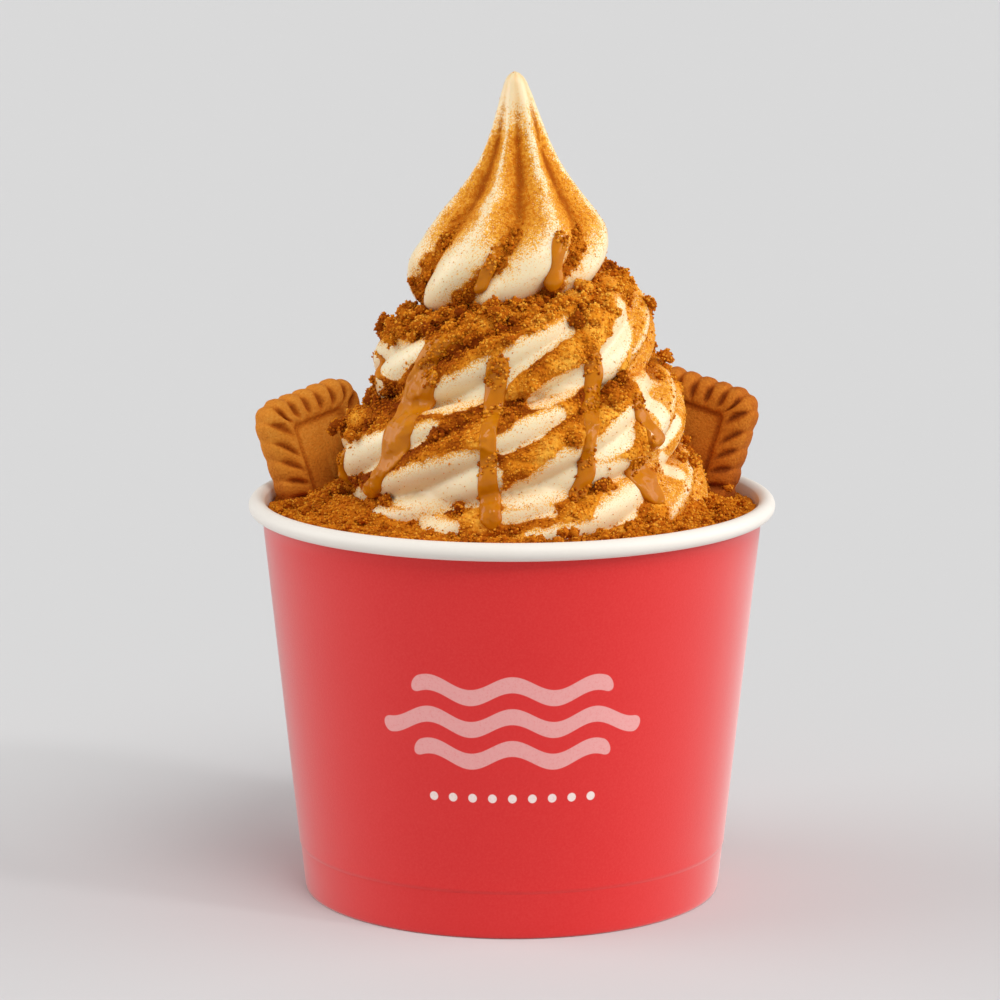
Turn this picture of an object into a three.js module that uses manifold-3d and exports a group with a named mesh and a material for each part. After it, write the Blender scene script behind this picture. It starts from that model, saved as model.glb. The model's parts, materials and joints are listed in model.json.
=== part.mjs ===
// A paper tub of frozen yogurt: a fluted swirl in a rolled-rim cup, with crumbs, caramel and two biscuits.
// Millimetres, +Z up, origin at the middle of the cup's foot. The front of the cup looks along -Y.
import * as THREE from "three";
import { mergeVertices } from "three/addons/utils/BufferGeometryUtils.js";
import Module from "manifold-3d";

const wasm = await Module();
wasm.setup();

// Cup
const rimRadius = 57.5;
const cupHeight = 87.6;
const beadRadius = 1.9;
const beadOverhang = 1;
const beadGap = 0.4;
const beadArc = { from: -90, to: 135, step: 45 };
const footRadius = 45.7;
const wallThickness = 0.8;
const skirtThickness = 1.6;
const skirtHeight = 10.4;
const skirtStep = 0.25;
const baseHeight = 8.4;
const baseThickness = 0.9;
const cupSides = 48;
const clearance = 0.35;
const mergeDistance = 0.001;

// Frozen yogurt
const plugTop = 80;
const plugSides = 48;
const swirlCentreX = 1.4;
const pitch = 18.1;
const lobeHeightAtRight = 87.8;
const ropeStart = -285;
const ropeEnd = 855;
const ropeSegment = 300;
const ropeStep = 15;
const fluteCount = 7;
const pointsPerFlute = 4;
const fluteDepth = 0.2;
const crestRoundness = 0.8;
const fluteTwist = 1.266;
const fluteTurnZero = 7;
const tipHeight = 180.4;
const peakBase = 130.4;
const peakWidest = 139.3;
const peakRadius = 22;
const peakFluteDepth = 0.19;
const peakTilt = 3;
const peakTiltFade = 20;
const peakFluteFade = 14;
const peakCore = 8;
const coreMiddle = 100;
const surfacePasses = 5;

// Crumbs and caramel
const crumbBottom = plugTop + clearance;
const crumbLevel = 84.9;
const crumbHeapHeight = 4.2;
const crumbBump = 0.9;
const heapAtFront = 0.1;
const bedSlices = 48;
const bedInside = 32;
const bedMiddle = 39;
const bedShares = [0, 0.25, 0.5, 0.75];
const bedRopeEnd = 225;
const ropeMargin = 0.45;
const bedSeed = 11;
const clumpCount = 22;
const clumpSizes = [1.1, 2.3];
const clumpStretch = [0.8, 1.25];
const clumpRaise = 0.2;
const clumpSeed = 5;
const clumpTurns = [150, 800];
const clumpLeans = [28, 62];

// Biscuits
const biscuitWidth = 26;
const biscuitLength = 52;
const biscuitThickness = 7.6;
const biscuitCorner = 5.5;
const scallopDepth = 0.55;
const grooveDepth = 0.75;
const borderWidth = 6;
const panelDepth = 1.1;
const leastCorner = 1.2;
const widthPoints = 8;
const lengthPoints = 18;
const cornerPoints = 4;

const degree = Math.PI / 180;
const palette = {
  paper: new THREE.MeshStandardMaterial({ color: 0xd2403f, roughness: 0.62, metalness: 0 }),
  board: new THREE.MeshStandardMaterial({ color: 0xf1ede6, roughness: 0.7, metalness: 0 }),
  yogurt: new THREE.MeshStandardMaterial({ color: 0xf0e6cc, roughness: 0.45, metalness: 0 }),
  crumb: new THREE.MeshStandardMaterial({ color: 0xc4761f, roughness: 0.9, metalness: 0 }),
  biscuit: new THREE.MeshStandardMaterial({ color: 0xb96d28, roughness: 0.85, metalness: 0 }),
};

// A repeatable stream of numbers from 0 to 1.
function seeded(seed) {
  let state = seed;
  return () => {
    state = (state * 1664525 + 1013904223) % 4294967296;
    return state / 4294967296;
  };
}

// Straight-line interpolation in a list of [position, value] pairs.
function between(table, position) {
  const last = table.length - 1;
  if (position <= table[0][0]) return table[0][1];
  if (position >= table[last][0]) return table[last][1];
  const next = table.findIndex((entry) => entry[0] > position);
  const [fromPosition, fromValue] = table[next - 1];
  const [toPosition, toValue] = table[next];
  return fromValue + ((toValue - fromValue) * (position - fromPosition)) / (toPosition - fromPosition);
}

function solidOf(geometry) {
  const bare = geometry.index ? geometry.toNonIndexed() : geometry.clone();
  bare.deleteAttribute("normal");
  bare.deleteAttribute("uv");
  const merged = mergeVertices(bare, mergeDistance);
  const triVerts = new Uint32Array(merged.index.array);
  const vertProperties = merged.attributes.position.array;
  const made = new wasm.Manifold(new wasm.Mesh({ numProp: 3, vertProperties, triVerts }));
  if (made.volume() > 0) return made;
  const turned = triVerts.map((_, i) => triVerts[i - (i % 3) + 2 - (i % 3)]);
  return new wasm.Manifold(new wasm.Mesh({ numProp: 3, vertProperties, triVerts: turned }));
}

function geometryOf(solid) {
  const mesh = solid.getMesh();
  const geometry = new THREE.BufferGeometry();
  geometry.setAttribute("position", new THREE.BufferAttribute(new Float32Array(mesh.vertProperties), 3));
  geometry.setIndex(new THREE.BufferAttribute(mesh.triVerts, 1));
  geometry.computeVertexNormals();
  return geometry;
}

// Rings of equally many points, joined in order; each end is closed by a fan round its middle.
function skin(rings) {
  const count = rings[0].length;
  const middle = (ring) => ring.reduce((sum, p) => sum.add(p), new THREE.Vector3()).divideScalar(count);
  const points = [...rings.flat(), middle(rings[0]), middle(rings[rings.length - 1])];
  const index = [];
  const firstMiddle = rings.length * count;
  const lastRing = (rings.length - 1) * count;
  for (let i = 0; i < count; i++) {
    const j = (i + 1) % count;
    for (let k = 0; k < rings.length - 1; k++) {
      const a = k * count;
      index.push(a + i, a + j, a + count + i, a + j, a + count + j, a + count + i);
    }
    index.push(firstMiddle, j, i, firstMiddle + 1, lastRing + i, lastRing + j);
  }
  const geometry = new THREE.BufferGeometry().setFromPoints(points);
  geometry.setIndex(index);
  return geometry;
}

// A profile of [radius, height] pairs turned round the upright axis.
function turned(profile, sides) {
  const points = profile.map(([radius, height]) => new THREE.Vector2(radius, height));
  return new THREE.LatheGeometry(points, sides).rotateX(Math.PI / 2);
}

function union(solids) {
  return solids.reduce((sum, solid) => sum.add(solid));
}

function largestOf(bodies) {
  return bodies.reduce((largest, body) => (body.volume() > largest.volume() ? body : largest));
}

// The one outer body of a solid: sealed hollows filled, loose scraps dropped and near points merged.
function wholeOf(solid) {
  const outer = largestOf(solid.decompose());
  return largestOf(solidOf(geometryOf(outer)).decompose());
}

// ---- Cup

const wallTop = cupHeight - 2 * beadRadius;
const wallTopRadius = rimRadius - beadRadius - beadOverhang;

function wallRadiusAt(height) {
  return footRadius + ((wallTopRadius - footRadius) * height) / wallTop;
}

function insideRadiusAt(height) {
  return wallRadiusAt(height) - wallThickness;
}

function cupWall() {
  const profile = [
    [footRadius - skirtThickness, 0],
    [footRadius, 0],
    [wallRadiusAt(skirtHeight), skirtHeight],
    [wallRadiusAt(skirtHeight) + skirtStep, skirtHeight + skirtStep],
    [wallTopRadius, wallTop - beadGap],
  ];
  const beadCentre = [rimRadius - beadRadius, cupHeight - beadRadius];
  for (let angle = beadArc.from; angle <= beadArc.to; angle += beadArc.step) {
    const turn = angle * degree;
    profile.push([beadCentre[0] + beadRadius * Math.cos(turn), beadCentre[1] + beadRadius * Math.sin(turn)]);
  }
  const innerTop = insideRadiusAt(wallTop);
  profile.push([innerTop, wallTop]);
  const ledge = baseHeight + baseThickness + clearance;
  profile.push([insideRadiusAt(ledge), ledge]);
  profile.push([wallRadiusAt(baseHeight) - skirtThickness, baseHeight - clearance]);
  profile.push(profile[0]);
  return turned(profile, cupSides);
}

function cupBase() {
  const radius = wallRadiusAt(baseHeight) - skirtThickness - clearance;
  const top = baseHeight + baseThickness;
  return turned([[0, baseHeight], [radius, baseHeight], [radius, top], [0, top]], cupSides);
}

// ---- Swirl: a fluted rope wound on a rising, closing helix. Angles are in degrees, anticlockwise from +X.

// Distance of the rope's centre from the axis, and its thickness, by turn angle.
const ropePath = [[-180, 27.4], [0, 27.8], [180, 26.1], [360, 23.1], [540, 18.9], [720, 17], [900, 11]];
const ropeThickness = [[-180, 13.6], [180, 13.5], [540, 13.1], [720, 12.8], [900, 11.8]];

function coreRadiusAt(height) {
  return between(ropePath, ((height - lobeHeightAtRight) * 360) / pitch);
}

function ropeHeightAt(turn) {
  return lobeHeightAtRight + (pitch * turn) / 360;
}

// The star section: round crests, sharp valleys.
function starRadius(radius, depth, phase) {
  const crest = Math.abs(Math.cos((phase * fluteCount * degree) / 2)) ** crestRoundness;
  return radius * (1 - depth + depth * crest);
}

function ropeRadiusAt(turn, lean) {
  const radius = between(ropeThickness, turn);
  return starRadius(radius, fluteDepth, lean - fluteTurnZero - fluteTwist * turn);
}

// A point of the swirl, from its turn angle, its distance from the swirl's axis and its height.
function swirlPoint(turn, out, height) {
  const angle = turn * degree;
  return new THREE.Vector3(swirlCentreX + out * Math.cos(angle), out * Math.sin(angle), height);
}

function ropePoint(turn, lean, raise = 0) {
  const radius = ropeRadiusAt(turn, lean) + raise;
  const centre = between(ropePath, turn);
  return swirlPoint(
    turn,
    centre + radius * Math.cos(lean * degree),
    ropeHeightAt(turn) + radius * Math.sin(lean * degree),
  );
}

function ropeSection(turn, raise) {
  const count = fluteCount * pointsPerFlute;
  return Array.from({ length: count }, (_, i) =>
    ropePoint(turn, (i * 360) / count + fluteTwist * turn + fluteTurnZero, raise),
  );
}

// The rope between two turns, raised all over by a margin. No segment meets itself.
function rope(start, end, raise) {
  const segments = [];
  for (let from = start; from < end; from += ropeSegment) {
    const to = Math.min(from + ropeSegment, end);
    const rings = [];
    for (let turn = from; turn <= to; turn += ropeStep) rings.push(ropeSection(turn, raise));
    segments.push(solidOf(skin(rings)));
  }
  return union(segments);
}

// The pulled-up peak: crest radius by height, a middle that leans a little, and flutes that curl at the hem.
const peakProfile = [
  [peakBase, 14.5], [131.6, 18.5], [134.2, 21.2], [peakWidest, peakRadius], [144.7, 20.5], [149.9, 17.3],
  [155, 13.1], [160.3, 9.4], [165.4, 6.9], [170.6, 5], [175.8, 3.1], [178.9, 1.7], [tipHeight - 0.2, 0.6],
];
const peakMiddle = [[peakBase, -1.2], [peakWidest, -0.6], [149.9, 1.4], [155, 1.5], [tipHeight, 0.6]];
const peakCurl = [[peakBase, -34], [136, -20], [142, -6], [150, 0], [tipHeight, 4]];

function peakRing(height, radius) {
  const count = fluteCount * pointsPerFlute;
  const depth = peakFluteDepth * Math.min(1, (tipHeight - height) / peakFluteFade);
  return Array.from({ length: count }, (_, i) => {
    const around = ((i + 0.5) * 360) / count;
    const out = starRadius(radius, depth, around + 180 / fluteCount);
    const turn = (around - 90 + between(peakCurl, height)) * degree;
    const tilt = peakTilt * Math.cos(turn) * Math.max(0, 1 - (height - peakBase) / peakTiltFade);
    const middle = between(peakMiddle, height);
    return new THREE.Vector3(middle + out * Math.cos(turn), out * Math.sin(turn), height + tilt);
  });
}

function peak() {
  return solidOf(skin(peakProfile.map(([height, radius]) => peakRing(height, radius))));
}

// The yogurt that fills the cup, with the core inside the rope's turns.
function plug() {
  const bottom = baseHeight + baseThickness + clearance;
  const profile = [
    [0, bottom],
    [insideRadiusAt(bottom) - skirtThickness, bottom],
    [insideRadiusAt(plugTop) - clearance, plugTop],
    [coreRadiusAt(plugTop), plugTop],
    [coreRadiusAt(coreMiddle), coreMiddle],
    [coreRadiusAt(peakBase), peakBase],
    [peakCore, peakWidest],
    [0, peakWidest],
  ];
  return solidOf(turned(profile, plugSides));
}

// Distance of the swirl's surface from its axis, at an angle and a height.
function swirlRadiusAt(around, height) {
  let furthest = coreRadiusAt(height);
  for (let turn = around - 360; turn <= ropeEnd; turn += 360) {
    const rise = height - ropeHeightAt(turn);
    let radius = between(ropeThickness, turn);
    if (turn < ropeStart || Math.abs(rise) > radius) continue;
    let lean = 0;
    for (let pass = 0; pass < surfacePasses; pass++) {
      lean = Math.asin(Math.max(-1, Math.min(1, rise / radius)));
      radius = ropeRadiusAt(turn, lean / degree);
    }
    furthest = Math.max(furthest, between(ropePath, turn) + radius * Math.cos(lean));
  }
  const onPeak = height > peakBase ? between(peakProfile, height) : 0;
  return Math.max(furthest, onPeak * (1 - peakFluteDepth / 2));
}

// ---- Caramel: thick runs down the swirl. Each route is a list of [angle, height] places on the swirl.

const caramelRuns = [
  { width: 2.6, drop: 1.2, route: [[-176, 119.5], [-168, 118], [-159, 114.8]] },
  {
    width: 5.6,
    drop: 1.1,
    route: [[-126, 124], [-132, 119.5], [-139, 114], [-137, 108], [-135, 103.5], [-138, 98.5], [-147, 92.5]],
  },
  { width: 4.6, drop: 1, route: [[-98, 123], [-100, 113.5], [-100, 105.5], [-100, 97], [-99, 91]] },
  { width: 4, drop: 1, route: [[-57, 123], [-58, 115], [-64, 110.5], [-66.5, 104], [-67, 98], [-70, 93.5]] },
  { width: 4.6, drop: 2, route: [[-42, 114], [-41, 108], [-38, 104], [-36, 100.5]] },
  { width: 6.6, drop: 1.35, route: [[-44, 98], [-42, 95.5], [-41, 93.2]] },
  { width: 3.2, drop: 1.3, route: [[-163, 99.5], [-167, 96], [-170, 92.5]] },
  { width: 4.4, drop: 1.1, route: [[-64, 145], [-67, 141], [-69, 135]] },
  { width: 2.6, drop: 1.2, route: [[-108, 141], [-112, 138], [-117, 135]] },
  { width: 3.2, drop: 1.6, route: [[34, 117], [30, 109], [38, 100], [36, 92]] },
  { width: 3.8, drop: 1.3, route: [[78, 126], [74, 117], [80, 108], [76, 97]] },
  { width: 3.4, drop: 1.5, route: [[112, 112], [118, 104], [114, 93]] },
  { width: 3, drop: 1.4, route: [[150, 121], [146, 112], [152, 103]] },
];
const runThickness = 1.3;
const runStep = 4.2;
const runSides = 5;
const fewestRings = 6;
const slopeReach = 0.05;
const dropShare = 0.8;
const ripple = { middle: 0.8, height: 0.2, pace: 9 };
const runEnd = 0.45;
const leastSwelling = 0.7;

function caramelRun({ width, drop, route }) {
  const plan = new THREE.CatmullRomCurve3(route.map(([turn, height]) => new THREE.Vector3(turn, height, 0)));
  const placeAt = (along) => {
    const { x: turn, y: height } = plan.getPoint(along);
    return swirlPoint(turn, swirlRadiusAt(turn, height), height);
  };
  const steps = Math.round(Math.max(fewestRings, plan.getLength() / runStep));
  const rings = Array.from({ length: steps }, (_, k) => {
    const along = k / (steps - 1);
    const centre = placeAt(along);
    const outward = new THREE.Vector3(centre.x - swirlCentreX, centre.y, 0).normalize();
    const before = placeAt(Math.max(0, along - slopeReach));
    const downward = placeAt(Math.min(1, along + slopeReach)).sub(before);
    const sideways = new THREE.Vector3().crossVectors(downward, outward).normalize();
    const rippled = ripple.middle + ripple.height * Math.cos(along * ripple.pace);
    const swelling = along > dropShare ? drop : rippled;
    const half = (width / 2) * (k === 0 || k === steps - 1 ? runEnd : swelling);
    return Array.from({ length: runSides }, (_unused, i) => {
      const angle = (i * 2 * Math.PI) / runSides;
      return centre
        .clone()
        .addScaledVector(sideways, half * Math.cos(angle))
        .addScaledVector(outward, runThickness * Math.max(leastSwelling, swelling) * Math.sin(angle));
    });
  });
  return solidOf(skin(rings));
}

// ---- Crumbs: clumps lodged on the upward sides of the rope's flutes, and the bed round the swirl's foot.

function clump(random) {
  const within = ([low, high]) => low + (high - low) * random();
  const geometry = new THREE.IcosahedronGeometry(within(clumpSizes), 0);
  const size = new THREE.Vector3(within(clumpStretch), within(clumpStretch), 1);
  const spin = new THREE.Euler(within([0, 2 * Math.PI]), within([0, 2 * Math.PI]), 0);
  const place = ropePoint(within(clumpTurns), within(clumpLeans), clumpRaise);
  const matrix = new THREE.Matrix4().compose(place, new THREE.Quaternion().setFromEuler(spin), size);
  return solidOf(geometry.applyMatrix4(matrix));
}

function clumps() {
  const random = seeded(clumpSeed);
  return Array.from({ length: clumpCount }, () => clump(random));
}

// One upright slice through the ring of crumbs, from inside the swirl's foot out to the cup's wall.
function bedSlice(around, random) {
  const at = (distance, height) =>
    new THREE.Vector3(distance * Math.cos(around * degree), distance * Math.sin(around * degree), height);
  const outside = insideRadiusAt(crumbLevel) - clearance;
  const heap = crumbHeapHeight * (heapAtFront + (1 - heapAtFront) * Math.cos(around * degree) ** 2);
  const slice = [at(bedInside, crumbBottom), at(insideRadiusAt(crumbBottom) - clearance, crumbBottom)];
  for (const share of bedShares) {
    const height = crumbLevel + heap * share ** 2 + crumbBump * (share > 0 ? random() - 0.5 : 0);
    slice.push(at(outside - share * (outside - bedMiddle), height));
  }
  slice.push(at(bedInside, crumbLevel + heap));
  return slice;
}

// Slices joined into a closed ring.
function ringOf(slices) {
  const count = slices[0].length;
  const index = [];
  for (let k = 0; k < slices.length; k++) {
    const a = k * count;
    const b = ((k + 1) % slices.length) * count;
    for (let i = 0; i < count; i++) {
      const j = (i + 1) % count;
      index.push(a + i, a + j, b + i, a + j, b + j, b + i);
    }
  }
  const geometry = new THREE.BufferGeometry().setFromPoints(slices.flat());
  geometry.setIndex(index);
  return geometry;
}

function crumbBed() {
  const random = seeded(bedSeed);
  const slices = Array.from({ length: bedSlices }, (_, k) => bedSlice((k * 360) / bedSlices, random));
  return solidOf(ringOf(slices)).subtract(rope(ropeStart - ropeStep, bedRopeEnd, ropeMargin));
}

// ---- Biscuits: an oblong with a scalloped, grooved border round a sunken plain panel; top edge at z = 0.

// Points round an oblong, as many on every size of it.
function oblong(halfWidth, halfLength, corner) {
  const sides = [
    [halfWidth, -halfLength, 0, lengthPoints],
    [halfWidth, halfLength, 90, widthPoints],
    [-halfWidth, halfLength, 180, lengthPoints],
    [-halfWidth, -halfLength, 270, widthPoints],
  ];
  const points = [];
  const cornerCentre = ([x, z]) => new THREE.Vector2(x - Math.sign(x) * corner, z - Math.sign(z) * corner);
  const direction = (angle) => new THREE.Vector2(Math.cos(angle * degree), Math.sin(angle * degree));
  sides.forEach((side, place) => {
    const [, , startAngle, straightPoints] = side;
    const centre = cornerCentre(side);
    const nextCentre = cornerCentre(sides[(place + 1) % sides.length]);
    for (let i = 0; i < cornerPoints; i++) {
      const angle = startAngle - 90 + (90 * i) / cornerPoints;
      points.push(centre.clone().addScaledVector(direction(angle), corner));
    }
    const outward = direction(startAngle);
    for (let i = 0; i < straightPoints; i++) {
      const along = i / straightPoints;
      points.push(centre.clone().lerp(nextCentre, along).addScaledVector(outward, corner));
    }
  });
  return points;
}

// A ring of the biscuit, inset from its outline and as far behind the face as its depth. At every other
// point a scallop cuts into the outline and a groove into the face. It can be grown all round.
function biscuitRing({ inset, depth, scallop = 0, groove = 0 }, grow = 0) {
  const corner = Math.max(biscuitCorner - inset, leastCorner) + grow;
  const halfWidth = biscuitWidth / 2 - inset + grow;
  const halfLength = biscuitLength / 2 - inset + grow;
  const ridges = oblong(halfWidth, halfLength, corner);
  const valleys = oblong(halfWidth - scallop, halfLength - scallop, corner);
  return ridges.map((ridge, i) => {
    const { x, y } = i % 2 ? valleys[i] : ridge;
    return new THREE.Vector3(x, depth + (i % 2 ? groove : 0) - biscuitThickness / 2, y - biscuitLength / 2);
  });
}

// From the back edge round to the sunken panel.
const biscuitSteps = [
  { inset: 0.5, depth: biscuitThickness },
  { inset: 0, depth: 2.8, scallop: scallopDepth },
  { inset: 0.8, depth: 0.8, scallop: 0.4, groove: grooveDepth },
  { inset: borderWidth / 2, depth: 0, groove: grooveDepth },
  { inset: borderWidth, depth: 0.35, groove: 0.2 },
  { inset: borderWidth + 1, depth: panelDepth },
];

function biscuit() {
  return skin(biscuitSteps.map((step) => biscuitRing(step)));
}

// The room that a biscuit takes in the yogurt and the crumbs.
const roomSteps = [
  { inset: 0, depth: biscuitThickness + clearance },
  { inset: 0, depth: 2 },
  { inset: 0.8, depth: -clearance },
];

function biscuitRoom() {
  return skin(roomSteps.map((step) => biscuitRing(step, clearance)));
}

// Where each biscuit's top edge is, and how it is turned in plan, leaned sideways and leaned back.
const biscuitPlaces = {
  biscuit_left: { top: [-46.4, 13.8, 108.6], yaw: 33, lean: -13, back: 11 },
  biscuit_right: { top: [43.5, 13.5, 111.3], yaw: -19, lean: 14.5, back: 8.5 },
};

function placeOf({ top, yaw, lean, back }) {
  return new THREE.Matrix4()
    .makeTranslation(...top)
    .multiply(new THREE.Matrix4().makeRotationZ(yaw * degree))
    .multiply(new THREE.Matrix4().makeRotationX(-back * degree))
    .multiply(new THREE.Matrix4().makeRotationY(lean * degree));
}

// ---- The whole

const group = new THREE.Group();

function addNode(name, geometry, material, place = new THREE.Matrix4()) {
  const mesh = new THREE.Mesh(geometry, material);
  mesh.name = name;
  mesh.applyMatrix4(place);
  group.add(mesh);
}

const roomAt = (place) => solidOf(biscuitRoom().applyMatrix4(placeOf(place)));
const rooms = union(Object.values(biscuitPlaces).map(roomAt));
const toppings = [...caramelRuns.map(caramelRun), ...clumps()];
const swirl = union([plug(), rope(ropeStart, ropeEnd, 0), peak(), ...toppings]);

addNode("cup_wall", cupWall(), palette.paper);
addNode("cup_base", cupBase(), palette.board);
addNode("yogurt_swirl", geometryOf(wholeOf(wholeOf(swirl).subtract(rooms))), palette.yogurt);
addNode("crumb_bed", geometryOf(wholeOf(crumbBed().subtract(rooms))), palette.crumb);
for (const [name, place] of Object.entries(biscuitPlaces)) {
  addNode(name, biscuit(), palette.biscuit, placeOf(place));
}

export default group;
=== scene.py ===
import json
import math

import bmesh
import bpy
import numpy as np
from mathutils import Matrix, Vector, noise
from mathutils.bvhtree import BVHTree

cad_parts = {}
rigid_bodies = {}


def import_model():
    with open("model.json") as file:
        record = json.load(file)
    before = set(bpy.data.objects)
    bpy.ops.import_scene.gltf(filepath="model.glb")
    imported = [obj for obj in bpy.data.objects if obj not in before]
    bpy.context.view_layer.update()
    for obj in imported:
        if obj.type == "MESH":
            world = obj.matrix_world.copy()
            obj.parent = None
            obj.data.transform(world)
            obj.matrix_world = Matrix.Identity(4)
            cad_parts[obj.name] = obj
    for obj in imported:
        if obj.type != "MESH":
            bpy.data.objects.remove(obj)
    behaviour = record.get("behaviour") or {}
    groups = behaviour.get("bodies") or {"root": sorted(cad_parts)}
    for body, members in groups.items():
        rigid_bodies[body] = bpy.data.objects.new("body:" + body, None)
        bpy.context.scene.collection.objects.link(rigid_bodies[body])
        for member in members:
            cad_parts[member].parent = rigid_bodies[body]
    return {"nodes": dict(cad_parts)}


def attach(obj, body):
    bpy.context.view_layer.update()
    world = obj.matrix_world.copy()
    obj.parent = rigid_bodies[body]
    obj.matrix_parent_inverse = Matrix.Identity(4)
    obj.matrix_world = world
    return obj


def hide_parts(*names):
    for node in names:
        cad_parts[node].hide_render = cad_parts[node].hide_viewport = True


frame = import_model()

# A paper tub of frozen yogurt with crumbs, caramel and two biscuits.
# Sizes are in millimetres until a mesh is made, where they become metres.
mm = 0.001
degree = math.pi / 180
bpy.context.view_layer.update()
scene = bpy.context.scene

view = {
    "place": (-2.6, -925, 260),
    "pitch": 10.64,
    "lens": 154.9,
    "sensor": 36,
}
# Soft suns: where each shines from, its strength, how wide it is in degrees, its colour.
suns = {
    "key": ((0.32, -0.66, 0.95), 1.28, 32, (1.0, 0.985, 0.96)),
    "rightSide": ((1.0, 0.0, 0.22), 1.6, 50, (1.0, 0.985, 0.96)),
    "leftSide": ((-1.0, 0.0, 0.30), 1.55, 50, (1.0, 0.99, 0.975)),
    "glint": ((0.82, -0.46, 0.55), 0.6, 8, (1.0, 0.99, 0.98)),
}
surroundings = {"colour": (1, 0.995, 0.985, 1), "level": 0.47}
floorLook = {"size": 12000, "colour": (0.597, 0.602, 0.614, 1), "roughness": 0.9}


def placed(name, data):
    thing = bpy.data.objects.new(name, data)
    scene.collection.objects.link(thing)
    return thing


eye = placed("camera", bpy.data.cameras.new("camera"))
eye.location = Vector(view["place"]) * mm
eye.rotation_euler = ((90 - view["pitch"]) * degree, 0, 0)
eye.data.lens = view["lens"]
eye.data.sensor_width = view["sensor"]
scene.camera = eye
for name, (source, strength, wide, colour) in suns.items():
    lamp = bpy.data.lights.new(name, "SUN")
    lamp.energy = strength
    lamp.angle = wide * degree
    lamp.color = colour
    placed(name, lamp).rotation_euler = Vector(source).to_track_quat("Z", "Y").to_euler()

world = bpy.data.worlds.new("studio")
world.use_nodes = True
world.node_tree.nodes["Background"].inputs["Color"].default_value = surroundings["colour"]
world.node_tree.nodes["Background"].inputs["Strength"].default_value = surroundings["level"]
scene.world = world
scene.view_settings.view_transform = "Standard"


# A socket that can stand in a sum; the sum adds its Math nodes to the same tree.
class Wire:
    def __init__(self, tree, socket=None):
        self.tree = tree
        self.socket = socket

    def add(self, kind, settings=None, sockets=None, output=0):
        node = self.tree.nodes.new(kind)
        for name, value in (settings or {}).items():
            if name == "stops":
                stops = node.color_ramp.elements
                stops[0].position, stops[1].position = value[0][0], value[-1][0]
                stops[0].color, stops[1].color = (*value[0][1], 1), (*value[-1][1], 1)
                for spot, colour in value[1:-1]:
                    stops.new(spot).color = (*colour, 1)
            elif name == "curve":
                line = node.mapping.curves[0].points
                line[0].location, line[1].location = value[0], value[-1]
                for spot in value[1:-1]:
                    line.new(*spot)
                node.mapping.update()
            else:
                setattr(node, name, value)
        for name, value in (sockets or {}).items():
            if isinstance(value, Wire):
                self.tree.links.new(value.socket, node.inputs[name])
            else:
                node.inputs[name].default_value = value
        return Wire(self.tree, node.outputs[output] if node.outputs else None)

    def maths(self, operation, first, second=0.0):
        return self.add("ShaderNodeMath", {"operation": operation}, {0: first, 1: second})

    def __add__(self, other):
        return self.maths("ADD", self, other)

    def __sub__(self, other):
        return self.maths("SUBTRACT", self, other)

    def __rsub__(self, other):
        return self.maths("SUBTRACT", other, self)

    def __mul__(self, other):
        return self.maths("MULTIPLY", self, other)

    def __truediv__(self, other):
        return self.maths("DIVIDE", self, other)

    def __rtruediv__(self, other):
        return self.maths("DIVIDE", other, self)

    def __pow__(self, other):
        return self.maths("POWER", self, other)

    __radd__ = __add__
    __rmul__ = __mul__

    def cos(self):
        return self.maths("COSINE", self)

    def sin(self):
        return self.maths("SINE", self)

    def size(self):
        return self.maths("ABSOLUTE", self)

    def least(self, other):
        return self.maths("MINIMUM", self, other)

    def most(self, other):
        return self.maths("MAXIMUM", self, other)

    # 0 below low and 1 above high, with a soft step between them
    def between(self, low, high):
        ramp = {"Value": self, "From Min": low, "From Max": high}
        return self.add("ShaderNodeMapRange", {"interpolation_type": "SMOOTHSTEP"}, ramp)

    # the value of a table of (place, value) pairs, as a smooth line
    def along(self, table):
        places, values = zip(*table)
        low, high = min(values), max(values)
        span = places[-1] - places[0]
        line = [((spot - places[0]) / span, (value - low) / (high - low)) for spot, value in table]
        share = (self - places[0]) / span
        return self.add("ShaderNodeFloatCurve", {"curve": line}, {"Value": share}) * (high - low) + low


socketKinds = {float: "Float", int: "Int", str: "String", bpy.types.Material: "Material",
               bpy.types.Collection: "Collection"}


# A geometry tree with an input for each of the values that it will be run with.
def newTree(name, values):
    tree = bpy.data.node_groups.new(name, "GeometryNodeTree")
    tree.interface.new_socket("Geometry", in_out="INPUT", socket_type="NodeSocketGeometry")
    for label, value in values.items():
        kind = "NodeSocket" + socketKinds[type(value)]
        tree.interface.new_socket(label, in_out="INPUT", socket_type=kind)
    tree.interface.new_socket("Geometry", in_out="OUTPUT", socket_type="NodeSocketGeometry")
    start = tree.nodes.new("NodeGroupInput")
    return {socket.name: Wire(tree, socket) for socket in start.outputs if socket.name}


def endTree(geometry, material):
    whole = geometry.add("GeometryNodeRealizeInstances", None, {"Geometry": geometry})
    painted = geometry.add("GeometryNodeSetMaterial", None, {"Geometry": whole, "Material": material})
    geometry.add("NodeGroupOutput", None, {"Geometry": painted})
    return geometry.tree


# Makes a geometry tree, runs it on a surface or on nothing, and gives back the plain mesh.
def grow(makeTree, values, surface=None):
    tree = makeTree(values)
    holder = placed(tree.name, surface or bpy.data.meshes.new(tree.name))
    modifier = holder.modifiers.new(tree.name, "NODES")
    modifier.node_group = tree
    for item in tree.interface.items_tree:
        if item.in_out == "INPUT" and item.name in values:
            modifier[item.identifier] = values[item.name]
    return settle(holder)


# The mesh with its modifiers applied; the holder goes.
def settle(holder):
    graph = bpy.context.evaluated_depsgraph_get()
    shown = holder.evaluated_get(graph)
    mesh = bpy.data.meshes.new_from_object(shown, preserve_all_data_layers=True, depsgraph=graph)
    bpy.data.objects.remove(holder)
    return mesh


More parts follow.
